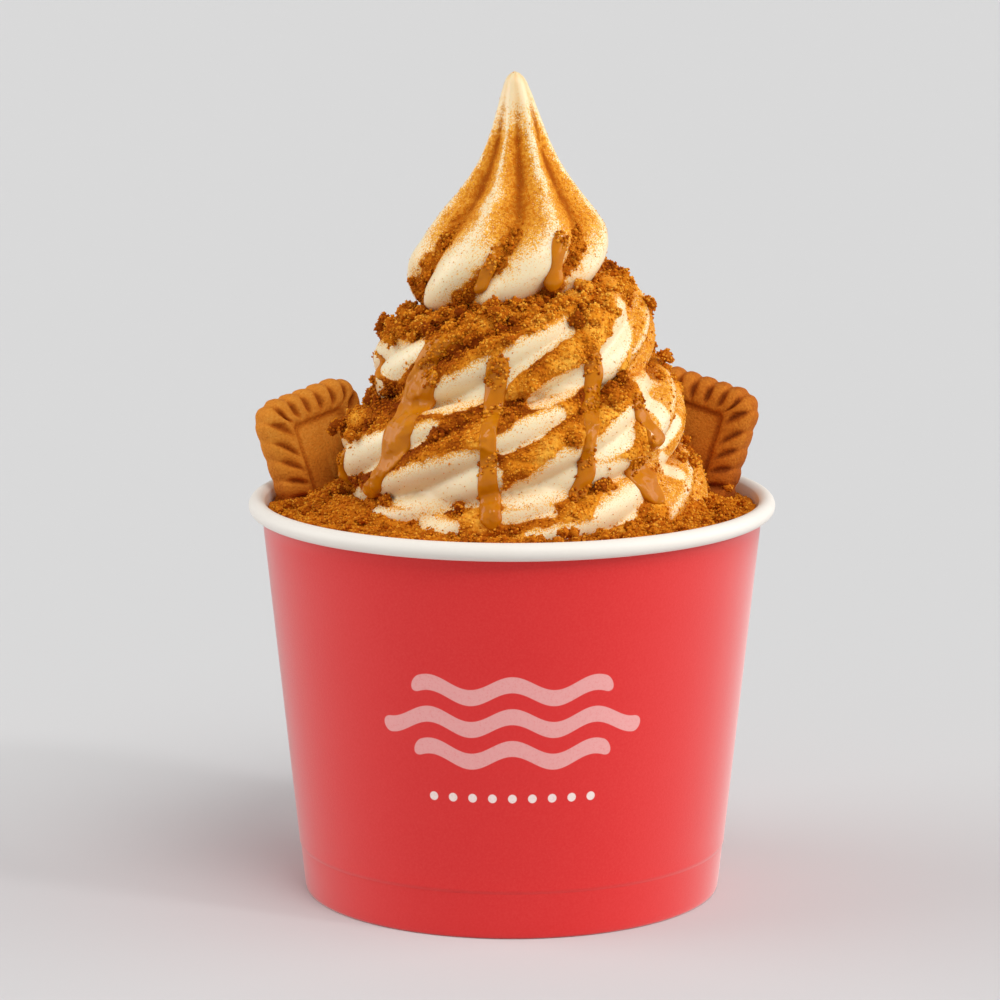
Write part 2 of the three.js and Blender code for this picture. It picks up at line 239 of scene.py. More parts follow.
def meshOf(name, points, faces):
    mesh = bpy.data.meshes.new(name)
    mesh.from_pydata([tuple(point) for point in np.asarray(points) * mm], [], faces)
    return mesh


# A finished piece with its materials, in place of the source's node, which is hidden.
def addPiece(name, mesh, slot, node, *materials):
    piece = placed(name, mesh)
    mesh.name = name
    mesh.materials.clear()
    for material in materials:
        mesh.materials.append(material)
    mesh.shade_smooth()
    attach(piece, "root")
    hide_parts(node)


def vectorsOf(items, name):
    values = np.empty(len(items) * 3)
    items.foreach_get(name, values)
    return values.reshape(-1, 3)


def pointsOf(mesh):
    return vectorsOf(mesh.vertices, "co") / mm


def normalsOf(mesh):
    return vectorsOf(mesh.vertex_normals, "vector")


def movePoints(mesh, points):
    mesh.vertices.foreach_set("co", (points * mm).ravel())
    mesh.update()


def store(mesh, **layers):
    for name, values in layers.items():
        found = mesh.attributes.get(name) or mesh.attributes.new(name, "FLOAT", "POINT")
        found.data.foreach_set("value", np.asarray(values).astype(np.float32))


def read(mesh, name):
    values = np.empty(len(mesh.vertices), np.float32)
    mesh.attributes[name].data.foreach_get("value", values)
    return values


# Smooth noise from -1 to 1, with lumps about size mm across.
def lumps(points, size, seed=0):
    shift = np.array([seed * 17.3, seed * 5.1, seed * 9.7])
    return np.array([noise.noise(Vector(spot)) for spot in points / size + shift]) * 1.6


# 0 at low and 1 at high, straight between them and level beyond.
def ramp(values, low, high):
    return np.clip((values - low) / (high - low), 0, 1)


# 1 from low to high, falling to 0 over soft on both sides.
def window(values, low, high, soft):
    return ramp(values, low - soft / 2, low + soft / 2) * ramp(-values, -high - soft / 2, -high + soft / 2)


# The value of a table of (place, value) pairs, straight between them.
def tableAt(table, places):
    return np.interp(places, *np.array(table).T)


# The faces between one row of points and the next; an open row leaves out its last face.
def rowFaces(here, following, count, closed=True, flipped=False):
    ends = [(k, (k + 1) % count) for k in range(count if closed else count - 1)]
    faces = [(here + k, following + k, following + after, here + after) for k, after in ends]
    return [(a, d, c, b) for a, b, c, d in faces] if flipped else faces


# The meshes made one; they go.
def joined(name, meshes):
    shape = bmesh.new()
    for mesh in meshes:
        shape.from_mesh(mesh)
        bpy.data.meshes.remove(mesh)
    whole = bpy.data.meshes.new(name)
    shape.to_mesh(whole)
    shape.free()
    return whole


# One closed skin over everything in the mesh, then smoothed.
def kneaded(mesh, voxel, rounds):
    holder = placed(mesh.name, mesh)
    remesh = holder.modifiers.new("skin", "REMESH")
    remesh.mode = "VOXEL"
    remesh.voxel_size = voxel * mm
    smooth = holder.modifiers.new("soft", "SMOOTH")
    smooth.factor = 0.5
    smooth.iterations = rounds
    return settle(holder)


def treeOf(mesh):
    mesh.calc_loop_triangles()
    corners = [tuple(triangle.vertices) for triangle in mesh.loop_triangles]
    return BVHTree.FromPolygons([vertex.co for vertex in mesh.vertices], corners)


def newMaterial(name):
    material = bpy.data.materials.new(name)
    material.use_nodes = True
    material.node_tree.nodes.clear()
    return material, Wire(material.node_tree)


def finishMaterial(wire, sockets):
    shader = wire.add("ShaderNodeBsdfPrincipled", None, sockets)
    wire.add("ShaderNodeOutputMaterial", None, {"Surface": shader})


# Light let into a finish: how much of it, and how far it goes in mm in red, green and blue.
def glowing(share, reach):
    return {"Subsurface Weight": share, "Subsurface Radius": reach, "Subsurface Scale": mm}


def objectPlace(wire):
    return wire.add("ShaderNodeTexCoord", None, None, "Object")


# Noise whose lumps are about size mm across.
def speckle(wire, spot, size, detail=2.0, rough=0.5):
    sockets = {"Vector": spot, "Scale": 1 / (size * mm), "Detail": detail, "Roughness": rough}
    return wire.add("ShaderNodeTexNoise", None, sockets)


def blend(wire, share, first, second):
    first, second = [colour if isinstance(colour, Wire) else (*colour, 1) for colour in (first, second)]
    return wire.add("ShaderNodeMix", {"data_type": "RGBA"}, {0: share, 6: first, 7: second}, 2)


def tones(wire, share, stops):
    return wire.add("ShaderNodeValToRGB", {"stops": stops}, {"Fac": share})


def bump(wire, height, strength, distance):
    sockets = {"Height": height, "Strength": strength, "Distance": distance * mm}
    return wire.add("ShaderNodeBump", None, sockets)


def attribute(wire, name):
    return wire.add("ShaderNodeAttribute", {"attribute_name": name}, None, "Fac")


def floorMaterial():
    material, wire = newMaterial("paleFloor")
    finishMaterial(wire, {"Base Color": floorLook["colour"], "Roughness": floorLook["roughness"]})
    return material


half = floorLook["size"] / 2
corners = [(-half, -half, 0), (half, -half, 0), (half, half, 0), (-half, half, 0)]
floor = placed("floor", meshOf("floor", corners, [(0, 1, 2, 3)]))
floor.data.materials.append(floorMaterial())
print("camera, light and floor are ready")

# Finishes. Colours are linear.
yogurtLook = {
    "ivory": (0.87, 0.755, 0.51),
    # the cream's colour where shade is painted on it: lower flanks, undersides and folds
    "paintedShadeCream": (0.76, 0.54, 0.27),
    "dust": (0.57, 0.155, 0.005),
    # the dust's colour where shade is painted on it, in valleys and folds
    "dustInPaintedShade": (0.29, 0.052, 0.0015),
    "dustPale": (0.88, 0.42, 0.045),
    "glow": (0.3, (2.4, 1.6, 0.8)),
    "roughness": 0.36,
}
crumbLook = {
    "tones": [(0.0, (0.22, 0.037, 0.0015)), (0.3, (0.45, 0.108, 0.004)), (0.6, (0.71, 0.238, 0.011)),
              (1.0, (0.95, 0.48, 0.06))],
    "roughness": 0.85,
    "gloss": 0.05,
    "glow": (0.15, (1.0, 0.5, 0.2)),
    # how much the painted shade of the surface below darkens loose crumbs
    "shaded": 0.55,
}
caramelLook = {
    "colour": (0.57, 0.19, 0.003),
    "deep": (0.47, 0.138, 0.002),
    "roughness": 0.2,
    "gloss": 0.05,
    "glow": (0.12, (1.6, 0.8, 0.2)),
    "coat": 0.3,
    "coatRoughness": 0.03,
}


def yogurtMaterial():
    material, wire = newMaterial("frozenYogurt")
    spot = objectPlace(wire)
    dust, crust, shade = [attribute(wire, name) for name in ("dust", "crust", "shade")]
    fine = speckle(wire, spot, 0.3, 3.0, 0.6)
    grains = speckle(wire, spot, 0.7, 3.0, 0.7)
    # painted shade: the cream darkens and warms where the shade attribute is high
    base = blend(wire, shade, yogurtLook["ivory"], yogurtLook["paintedShadeCream"])
    dusted = (dust + (fine - 0.5) * 2.2).between(0.38, 0.72)
    thickly = grains.between(0.4, 0.62) * 0.6 + dust * 1.4 - 1.0
    powder = blend(wire, thickly, yogurtLook["dustPale"], yogurtLook["dust"])
    # painted shade: dust darkens where the shade attribute is high
    powder = blend(wire, shade.between(0.4, 0.9) * dust * 0.8, powder, yogurtLook["dustInPaintedShade"])
    # crust colour: random grain, with painted shade in the folds and painted light on the lit side, both
    # carried by the shade attribute
    crusty = tones(wire, grains + 0.02 - shade * 0.6, crumbLook["tones"])
    crusted = crust.between(0.25, 0.6)
    smooth = wire.add("ShaderNodeBsdfPrincipled", None, {
        "Base Color": base,
        "Roughness": yogurtLook["roughness"],
        "Normal": bump(wire, fine, 0.04, 0.25),
        **glowing(*yogurtLook["glow"]),
    })
    dry = wire.add("ShaderNodeBsdfPrincipled", None, {
        "Base Color": blend(wire, crusted, powder, crusty),
        "Roughness": crumbLook["roughness"],
        "Normal": bump(wire, fine, 0.5, 0.25),
        "Specular IOR Level": crumbLook["gloss"],
    })
    mixed = wire.add("ShaderNodeMixShader", None, {0: dusted.most(crusted), 1: smooth, 2: dry})
    wire.add("ShaderNodeOutputMaterial", None, {"Surface": mixed})
    return material


def crumbMaterial():
    material, wire = newMaterial("biscuitCrumb")
    spot = objectPlace(wire)
    grain = speckle(wire, spot, 0.4, 3.0, 0.7)
    # tone is random, less the painted shade of the surface under each loose crumb
    finishMaterial(wire, {
        "Base Color": tones(wire, attribute(wire, "tone") * 0.7 + grain * 0.4 - 0.05, crumbLook["tones"]),
        "Roughness": crumbLook["roughness"],
        "Normal": bump(wire, grain, 0.6, 0.25),
        "Specular IOR Level": crumbLook["gloss"],
        **glowing(*crumbLook["glow"]),
    })
    return material


def caramelMaterial():
    material, wire = newMaterial("caramelSauce")
    spot = objectPlace(wire)
    cloud = speckle(wire, spot, 4.0, 3.0)
    finishMaterial(wire, {
        "Base Color": blend(wire, cloud.between(0.2, 0.9), caramelLook["colour"], caramelLook["deep"]),
        "Roughness": cloud * 0.1 + caramelLook["roughness"],
        "Normal": bump(wire, speckle(wire, spot, 3.0), 0.03, 0.3),
        "Specular IOR Level": caramelLook["gloss"],
        "Coat Weight": caramelLook["coat"],
        "Coat Roughness": caramelLook["coatRoughness"],
        **glowing(*caramelLook["glow"]),
    })
    return material


yogurt = yogurtMaterial()
crumbs = crumbMaterial()
caramel = caramelMaterial()

cup = {
    "rimRadius": 57.5,
    "height": 87.6,
    "beadRadius": 1.9,
    "beadOverhang": 1.0,
    "footRadius": 45.7,
    "wallThickness": 0.8,
    "skirtThickness": 1.6,
    "skirtHeight": 10.4,
    "skirtStep": 0.25,
    "baseHeight": 8.4,
    "baseThickness": 0.9,
    "baseGap": 0.35,
    # the foot's rounded edge: out from the foot's radius, height
    "footEdge": [(-0.5, 0.0), (-0.1, 0.15), (0.05, 0.6)],
    # where the bead's curl starts and ends, in degrees
    "beadCurl": (-112, 150),
    "sides": 240,
    "seamWidth": 9.0,
    "seamStep": 0.3,
    "red": (0.67, 0.018, 0.018),
    "redWorn": (0.71, 0.038, 0.036),
    "roughness": 0.45,
    "gloss": 0.2,
    "sheen": 0.98,
    "sheenRoughness": 0.4,
    "sheenTint": (1.0, 0.9, 0.9, 1.0),
    "board": (0.82, 0.78, 0.725),
    "boardShade": (0.76, 0.71, 0.645),
    "boardRoughness": 0.5,
}
# The printed ornament, front and back: wavy ribbons over a row of dots.
ornament = {
    "radius": 51.5,
    "ribbons": [(55.2, 20.0), (48.2, 27.0), (41.2, 20.0)],
    "thick": 1.75,
    "waveLength": 18.0,
    "waveHeight": 1.5,
    "dotHeight": 31.6,
    "dotSpacing": 4.4,
    "dotRadius": 0.95,
    "dotReach": 19.8,
    "edge": 0.12,
    "pink": (0.80, 0.36, 0.35),
    "white": (0.88, 0.74, 0.70),
}
wallTop = cup["height"] - 2 * cup["beadRadius"]
wallTopRadius = cup["rimRadius"] - cup["beadRadius"] - cup["beadOverhang"]


def printMasks(wire, spot):
    x, y, height = [wire.add("ShaderNodeSeparateXYZ", None, {"Vector": spot}, axis) / mm for axis in "XYZ"]
    # the distance round the cup from the middle of its front, or of its back
    along = wire.maths("ARCTANGENT", x / y) * -ornament["radius"]
    wave = (along * (2 * math.pi / ornament["waveLength"])).cos() * ornament["waveHeight"]
    soft = ornament["edge"]
    ribbons = 0
    for level, reach in ornament["ribbons"]:
        past = (along.size() - reach).most(0.0)
        off = height - level - wave
        ribbons = (ornament["thick"] - (past * past + off * off) ** 0.5).between(-soft, soft) + ribbons
    spacing = ornament["dotSpacing"]
    cell = (wire.maths("FRACT", along / spacing + 0.5) - 0.5) * spacing
    off = height - ornament["dotHeight"]
    dots = (ornament["dotRadius"] - (cell * cell + off * off) ** 0.5).between(-soft, soft)
    return ribbons, dots * (ornament["dotReach"] - along.size()).between(-soft, soft)


def paperMaterial():
    material, wire = newMaterial("printedPaper")
    spot = objectPlace(wire)
    fibre = speckle(wire, spot, 0.5, 4.0, 0.7)
    mottle = speckle(wire, spot, 14.0, 3.0)
    red = blend(wire, fibre.between(0.3, 0.8) * 0.6 + mottle * 0.25, cup["red"], cup["redWorn"])
    ribbons, dots = printMasks(wire, spot)
    worn = 1 - fibre.between(0.45, 0.8) * 0.3
    printed = blend(wire, ribbons * worn, red, ornament["pink"])
    finishMaterial(wire, {
        "Base Color": blend(wire, dots * worn, printed, ornament["white"]),
        "Roughness": fibre * 0.12 + cup["roughness"],
        "Normal": bump(wire, fibre, 0.25, 0.12),
        "Specular IOR Level": cup["gloss"],
        "Sheen Weight": cup["sheen"],
        "Sheen Roughness": cup["sheenRoughness"],
        "Sheen Tint": cup["sheenTint"],
    })
    return material


def boardMaterial():
    material, wire = newMaterial("whiteBoard")
    spot = objectPlace(wire)
    fibre = speckle(wire, spot, 0.6, 4.0, 0.7)
    cloud = speckle(wire, spot, 9.0, 2.0)
    finishMaterial(wire, {
        "Base Color": blend(wire, fibre * 0.4 + cloud * 0.4, cup["board"], cup["boardShade"]),
        "Roughness": cup["boardRoughness"],
        "Normal": bump(wire, fibre, 0.2, 0.1),
    })
    return material


def wallRadius(height):
    return cup["footRadius"] + (wallTopRadius - cup["footRadius"]) * height / wallTop


# A profile of (radius, height) turned round the upright axis; open profiles start and end on the axis.
def turned(name, profile, sides, closed=True):
    angles = np.arange(sides) * 2 * math.pi / sides
    count = len(profile)
    points = [(r * math.cos(a), r * math.sin(a), height) for a in angles for r, height in profile]
    faces = []
    for side in range(sides):
        faces += rowFaces(side * count, (side + 1) % sides * count, count, closed)
    return meshOf(name, points, faces)


# The wall's section: what is printed, and the rolled rim with the inside.
def cupProfiles():
    foot, skirtTop, step, bead = cup["footRadius"], cup["skirtHeight"], cup["skirtStep"], cup["beadRadius"]
    skirt, low = wallRadius(skirtTop), skirtTop + 0.8
    slope = wallTopRadius - skirt - step
    outer = [(foot + out, height) for out, height in cup["footEdge"]]
    outer += [(wallRadius(h), h) for h in np.linspace(1.5, skirtTop - 0.4, 6)]
    outer += [(skirt, skirtTop - 0.1), (skirt + step, skirtTop + 0.25)]
    outer += [(skirt + step + slope * (h - low) / (wallTop - low), h)
              for h in np.linspace(low, wallTop - 0.3, 26)]
    rim = [(cup["rimRadius"] - bead + bead * math.cos(a), cup["height"] - bead + bead * math.sin(a))
           for a in np.radians(np.linspace(*cup["beadCurl"], 30))]
    base, gap, thick = cup["baseHeight"], cup["baseGap"], cup["skirtThickness"]
    ledge = base + cup["baseThickness"] + gap
    inner = [(wallRadius(h) - cup["wallThickness"], h) for h in np.linspace(wallTop + 0.5, ledge, 20)]
    inner += [(wallRadius(base) - thick, base - gap), (foot - thick, 0.0)]
    return outer, rim + inner


# The wall's lapped seam, at the back.
def lapSeam(mesh, perSide, outerCount):
    points = pointsOf(mesh)
    radius = np.hypot(points[:, 0], points[:, 1])
    across = np.arctan2(points[:, 0], points[:, 1]) * radius
    isOuter = np.tile(np.arange(perSide) < outerCount, cup["sides"])
    edge = cup["seamWidth"] / 2
    lift = ramp(-across, -edge, 0.4 - edge) * ramp(across, -edge, 3 - edge) * isOuter * cup["seamStep"]
    points[:, :2] *= (1 + lift / radius)[:, None]
    movePoints(mesh, points)


paper, board = paperMaterial(), boardMaterial()
outerWall, restOfWall = cupProfiles()
wallMesh = turned("cupWall", outerWall + restOfWall, cup["sides"])
perSide = len(outerWall) + len(restOfWall)
lapSeam(wallMesh, perSide, len(outerWall))
addPiece("cupWall", wallMesh, "paper_red", "cup_wall", paper, board)
for index, face in enumerate(wallMesh.polygons):
    face.material_index = 0 if index % perSide < len(outerWall) - 1 else 1

baseMesh = frame["nodes"]["cup_base"].data
baseMesh.materials.clear()
baseMesh.materials.append(board)
print("cup made")

# The swirl: a fluted rope wound on a rising, closing helix, and a pulled-up peak. Angles are in degrees.
swirl = {
    "centreX": 1.4,
    "pitch": 18.1,
    "heightAtRight": 87.8,
    "start": -285.0,
    "end": 868.0,
    "taper": 16.0,
    "flutes": 7.0,
    "fluteDepth": 0.2,
    "roundness": 0.8,
    "twist": 1.266,
    "turnZero": 7.0,
    # how far out the rope's middle is, and how thick it is, at each turn
    "path": [(-285, 27.2), (-180, 27.4), (0, 27.8), (180, 26.1), (360, 23.1), (540, 18.9), (720, 17.0),
             (900, 11.0)],
    "thickness": [(-285, 13.6), (180, 13.5), (540, 13.1), (720, 12.8), (900, 11.8)],
    # sections of the yogurt inside the rope and of what fills the cup: radius, height
    "core": [(0, 70), (26, 70), (26, 90), (22, 108), (18, 122), (12, 134), (0, 134)],
    "fill": [(0, 9.65), (45, 9.65), (53, 80), (20, 80), (0, 80)],
    "points": (640, 141),
    "voxel": 0.6,
    "smoothing": 5,
}
peak = {
    "base": 130.4,
    "tip": 180.15,
    "fluteDepth": 0.2,
    "fluteFade": 14.0,
    "ridged": (141.0, 156.0),
    "ridge": 1.35,
    "tilt": 3.0,
    "tiltFade": 20.0,
    # radius and height, from the middle of the underside to the tip
    "profile": [(0, 134), (8, 131.5), (14.5, 130.4), (18.5, 131.6), (21.2, 134.2), (22, 139.3),
                (20.5, 144.7), (17.3, 149.9), (13.1, 155), (9.4, 160.3), (6.9, 165.4), (5, 170.6),
                (3.2, 175.8), (1.9, 178.7), (0, 180.1)],
    # at each height, how far the middle is to the right, and how far the flutes have turned
    "middle": [(130.4, -1.2), (139.3, -0.6), (149.9, 1.4), (155, 1.5), (180.4, 0.6)],
    "curl": [(130.4, -34), (136, -20), (142, -6), (150, 0), (180.4, 4)],
    "points": (160, 197),
    "voxel": 0.45,
    "smoothing": 5,
}


def gridOf(wire, along, around):
    sockets = {"Size X": 1.0, "Size Y": 1.0, "Vertices X": along, "Vertices Y": around}
    spot = wire.add("GeometryNodeInputPosition")
    x, y = [wire.add("ShaderNodeSeparateXYZ", None, {"Vector": spot}, axis) + 0.5 for axis in "XY"]
    return wire.add("GeometryNodeMeshGrid", None, sockets), x, y


def bentGrid(grid, x, y, z, material):
    point = grid.add("ShaderNodeCombineXYZ", None, {"X": x * mm, "Y": y * mm, "Z": z * mm})
    moved = grid.add("GeometryNodeSetPosition", None, {"Geometry": grid, "Position": point})
    closed = grid.add("GeometryNodeMergeByDistance", None, {"Geometry": moved, "Distance": 0.01 * mm})
    return endTree(closed, material)


def ropeTree(values):
    wires = newTree("swirlRope", values)
    start, end, depth = wires["start"], wires["end"], wires["fluteDepth"]
    grid, share, ring = gridOf(start, *swirl["points"])
    turn = start + (end - start) * share
    around = ring * 360
    crest = (around * wires["flutes"] * (degree / 2)).cos().size() ** swirl["roundness"]
    # the ends close in a round nose
    nose = 1 - ((turn - start).least(end - turn) / wires["taper"]).least(1.0)
    closing = (1 - nose * nose) ** 0.5
    thick = turn.along(swirl["thickness"]) * closing * (1 - depth + depth * crest)
    lean = (around + wires["twist"] * turn + wires["turnZero"]) * degree
    out = turn.along(swirl["path"]) + thick * lean.cos()
    angle = turn * degree
    height = wires["heightAtRight"] + wires["pitch"] * turn / 360 + thick * lean.sin()
    x, y = wires["centreX"] + out * angle.cos(), out * angle.sin()
    return bentGrid(grid, x, y, height, wires["material"])


def peakTree(values):
    wires = newTree("swirlPeak", values)
    grid, share, ring = gridOf(wires["flutes"], *peak["points"])
    steps = np.hypot(*np.diff(np.array(peak["profile"]), axis=0).T)
    places = np.concatenate([[0], np.cumsum(steps)]) / steps.sum()
    radii, heights = zip(*peak["profile"])
    radius, height = share.along(list(zip(places, radii))), share.along(list(zip(places, heights)))
    around = ring * 360
    depth = wires["fluteDepth"] * ((peak["tip"] - height) / peak["fluteFade"]).least(1.0).most(0.0)
    side = (around * wires["flutes"] + 180) * (degree / 2)
    # rounded lobes low down, narrow ridges towards the tip
    ridged = height.between(*peak["ridged"])
    ridge = 1 - side.sin().size() ** peak["ridge"]
    crest = side.cos().size() ** swirl["roundness"] * (1 - ridged) + ridge * ridged
    out = radius * (1 - depth + depth * crest)
    turn = (around - 90 + height.along(peak["curl"])) * degree
    sag = (1 - (height - peak["base"]) / peak["tiltFade"]).least(1.0).most(0.0)
    lift = wires["tilt"] * turn.cos() * sag
    middle = height.along(peak["middle"])
    return bentGrid(grid, middle + out * turn.cos(), out * turn.sin(), height + lift, wires["material"])


def anglesOf(points, middle):
    return np.degrees(np.arctan2(points[:, 1], points[:, 0] - middle))


# Where a point of the rope lies: its turn, its lean round the rope, and its place across a flute (crest 0).
def ropePlaces(points):
    around = anglesOf(points, swirl["centreX"])
    out = np.hypot(points[:, 0] - swirl["centreX"], points[:, 1])
    nearest = np.full(len(points), np.inf)
    turns, leans = np.zeros(len(points)), np.zeros(len(points))
    for turn in (around + 360 * lap for lap in range(-1, 4)):
        rise = points[:, 2] - swirl["heightAtRight"] - swirl["pitch"] * turn / 360
        reach = out - tableAt(swirl["path"], turn)
        thick = tableAt(swirl["thickness"], turn)
        gap = np.abs(np.hypot(rise, reach) - thick * (1 - swirl["fluteDepth"] / 3))
        better = (turn >= swirl["start"]) & (turn <= swirl["end"]) & (gap < nearest)
        nearest[better], turns[better] = gap[better], turn[better]
        leans[better] = np.degrees(np.arctan2(rise, reach))[better]
    phase = (leans - swirl["turnZero"] - swirl["twist"] * turns) * swirl["flutes"] / 360
    return turns, leans, phase - np.round(phase)


# Where crumbs lie on the swirl. They keep to the upper side of each flute and to the folds between the
# laps. In front the bare patches are placed one by one. Each follows a few places: angle, height, half width.
cover = {
    # the bare share of a flute at the back, from its crest at 0, and its soft edge
    "clean": (-0.46, 0.04),
    "cleanSoft": 0.12,
    "wander": 0.13,
    # leans round the rope, in degrees: crumbs start again on top, end underneath, and heap up in the crease
    "topLean": (62, 78),
    "underLean": (-56, -42),
    "creaseLean": (40, 75),
    "ledgeLean": (34, 50),
    # the last laps, whose tops are ledges full of clumps
    "ledgeTurn": 470,
    "ledgeHeight": 112,
    "thick": 0.45,
    # dust everywhere, above a bare patch, near its crumbs, and on top of the rope
    "dust": (0.18, 0.3, 0.38, 0.2),
    "dustReach": 1.3,
    "patchGrow": 0.5,
    "patchWander": (0.3, 0.8),
    "patchSoft": 0.7,
    "patchRadius": 36.0,
    "frontReach": 96.0,
    "dustySide": (-44, -34),
    "patches": [
        [(-192, 116.8, 3.2), (-161, 119.4, 3.4)],
        [(-161, 119.4, 2.6), (-150, 119.6, 4.0), (-135, 123.2, 1.8)],
        [(-168, 110.5, 1.3), (-161, 114.5, 1.3)], [(-133, 111, 1.3), (-118, 114, 3.4), (-102, 117.8, 4.3)],
        [(-96, 120, 2.8), (-86, 124, 2.7), (-67, 128.3, 1.5)],
        [(-85, 113, 0.9), (-74, 115.8, 2.5), (-62, 118.2, 2.0)],
        [(-56, 117.5, 2.2), (-50, 121, 3.2), (-33, 130, 2.2)], [(-57, 115.5, 1.0), (-46, 117, 1.2)],
        [(-34, 113, 2.0), (-31, 106, 1.6)], [(-34, 114.2, 1.3), (-20, 115, 1.0)],
        [(-129, 104.5, 1.7), (-122, 107.3, 1.3)], [(-192, 95.6, 3.2), (-159, 98, 3.6)],
        [(-159, 98, 3.3), (-150, 99.5, 3.5), (-140, 103.8, 1.8)],
        [(-138, 93.5, 2.6), (-125, 94.2, 5.2), (-105, 97.8, 5.9)], [(-148, 87.5, 1.4), (-128, 88.3, 1.6)],
        [(-163, 89, 2.2), (-152, 89.6, 1.2)], [(-95, 105, 2.0), (-85, 108.3, 2.5), (-75, 110.8, 1.2)],
        [(-93, 94, 1.8), (-83, 95.2, 3.6), (-73, 99, 4.8)],
        [(-61, 103.5, 2.5), (-54, 105.6, 3.3), (-47, 109.5, 1.8)],
        [(-63, 97.7, 2.5), (-54, 98.3, 2.2), (-42, 98.2, 0.8)],
        [(-62, 89.5, 2.8), (-55, 91.3, 3.5), (-50, 93, 2.6)], [(-94, 90, 1.3), (-80, 91, 1.0)],
        [(-86, 85.5, 1.4), (-68, 87, 2.0)], [(-122, 87.8, 1.0), (-110, 87.3, 1.0)],
        [(-29, 98.5, 1.0), (-25, 96, 1.8)], [(-29, 102, 1.0), (-14, 105.5, 1.0)],
    ],
}
# The same for the peak, with the heights at which its cleaner hem and the crumbs between its lobes end.
peakCover = {
    # distances below the tip over which the dust sets in
    "bareTip": (2.0, 15.0),
    "crestDust": 0.45,
    "slopeDust": 0.42,
    "valleyDust": 0.28,
    "hem": (149, 141),
    "hemDust": (0.25, 0.12, 0.65),
    "crust": (151, 143),
    "crustFoot": 128,
    "thick": 0.5,
}


# How far inside the nearest bare patch each place of the front lies, in mm, and how near its upper edge.
def patchDepth(angles, heights):
    deepest, upward = np.full(len(angles), -20.0), np.zeros(len(angles))
    around = (angles + 270) % 360 - 270
    perDegree = cover["patchRadius"] * degree
    for start, end in [pair for patch in cover["patches"] for pair in zip(patch, patch[1:])]:
        side, up = (end[0] - start[0]) * perDegree, end[1] - start[1]
        x, y = (around - start[0]) * perDegree, heights - start[1]
        share = np.clip((x * side + y * up) / (side * side + up * up), 0, 1)
        half = start[2] + (end[2] - start[2]) * share + cover["patchGrow"]
        inside = half - np.hypot(x - side * share, y - up * share)
        better = inside > deepest
        deepest[better], upward[better] = inside[better], ((y - up * share) / half)[better]
    return deepest, upward


def coverRope(mesh):
    points, normals = pointsOf(mesh), normalsOf(mesh)
    turns, leans, across = ropePlaces(points)
    angles = anglesOf(points, swirl["centreX"])
    wander = lumps(points, 3.2, 1) * 0.6 + lumps(points, 1.1, 2) * 0.4
    shifted = across + cover["wander"] * wander
    byFlute = window(shifted, *cover["clean"], cover["cleanSoft"])
    byFlute *= 1 - ramp(leans + 14 * wander, *cover["topLean"])
    depth, upward = patchDepth(angles, points[:, 2])
    below, above = cover["patchWander"]
    depth += (below + (above - below) * ramp(upward, -0.4, 0.6)) * wander
    byPatch = ramp(depth, -cover["patchSoft"] / 2, cover["patchSoft"] / 2)
    front = window(np.abs((angles + 270) % 360 - 180), -1, cover["frontReach"], 6)
    clean = byPatch * front + byFlute * (1 - front)
    dusty = front * ramp(angles, *cover["dustySide"]) * (1 - ramp(leans, 35, 60) * 0.5)
    under = ramp(leans + 10 * wander, *cover["underLean"])
    crust = (1 - clean) * under * (1 - 0.9 * dusty)
    nearCrumbs = np.exp(-np.clip(depth, 0, 9) / cover["dustReach"]) * front
    everywhere, above, near, onTop = cover["dust"]
    dust = everywhere + above * ramp(upward, 0.45, 1.1) * front + near * nearCrumbs
    dust += onTop * (window(shifted, 0.0, 0.5, 0.3) * (1 - front) + ramp(leans, 20, 80))
    dust = np.clip(np.maximum(dust, crust * 0.9), 0, 1) * (1 - dusty)
    onEdge = window(across, -0.14, 0.05, 0.1)
    dust += dusty * (0.26 + (0.62 - 0.35 * onEdge) * (1 - clean) + 0.2 * wander)
    grain = lumps(points, 0.9, 3) * 0.45 + lumps(points, 2.6, 4) * 0.75
    raised = np.clip(crust, 0, 1) ** 1.5 * cover["thick"] * (0.8 + 1.6 * grain)
    movePoints(mesh, points + normals * raised[:, None])
    lastLaps = turns > cover["ledgeTurn"]
    onLedge = ramp(leans, *cover["ledgeLean"]) * lastLaps * (points[:, 2] > cover["ledgeHeight"])
    heaps = 0.1 + 0.7 * np.clip(lumps(points, 9.0, 11) + 0.3, 0, 1)
    heaps *= window(leans, *cover["creaseLean"], 14)
    folds = window(leans, 50, 80, 20) * ~lastLaps
    crease = np.maximum(ramp(np.abs(across), 0.25, 0.5), folds)
    # painted shade: the cream darker on the lower side of each flute and under the rope
    shade = np.clip(0.1 - 0.6 * across, 0, 0.35) + 0.35 * ramp(-leans, 0, 50)
    # painted shade: crumbs darker in the folds; painted light: crumbs brighter on the side the light comes
    # from, over random lighter and darker patches
    patchesAndPaintedLight = 0.6 * lumps(points, 5.0, 14) + 0.3 - 0.75 * ramp(angles, -115, -45) * front
    shade = shade * (1 - crust) + (0.9 * crease + patchesAndPaintedLight) * crust
    powder = np.clip(dust - 0.25, 0, 1) * (1 - 0.8 * crust) * under + 0.05
    strays = 0.03 * nearCrumbs * (1 - crust) * (1 - dusty)
    grains = crust ** 2 + 0.12 * dusty * (1 - clean) + strays
    clumps = crust * np.clip(onLedge + 0.1 + heaps, 0, 1)
    store(mesh, crust=crust, dust=dust, shade=shade, powderAt=powder, grainsAt=grains, clumpsAt=clumps)


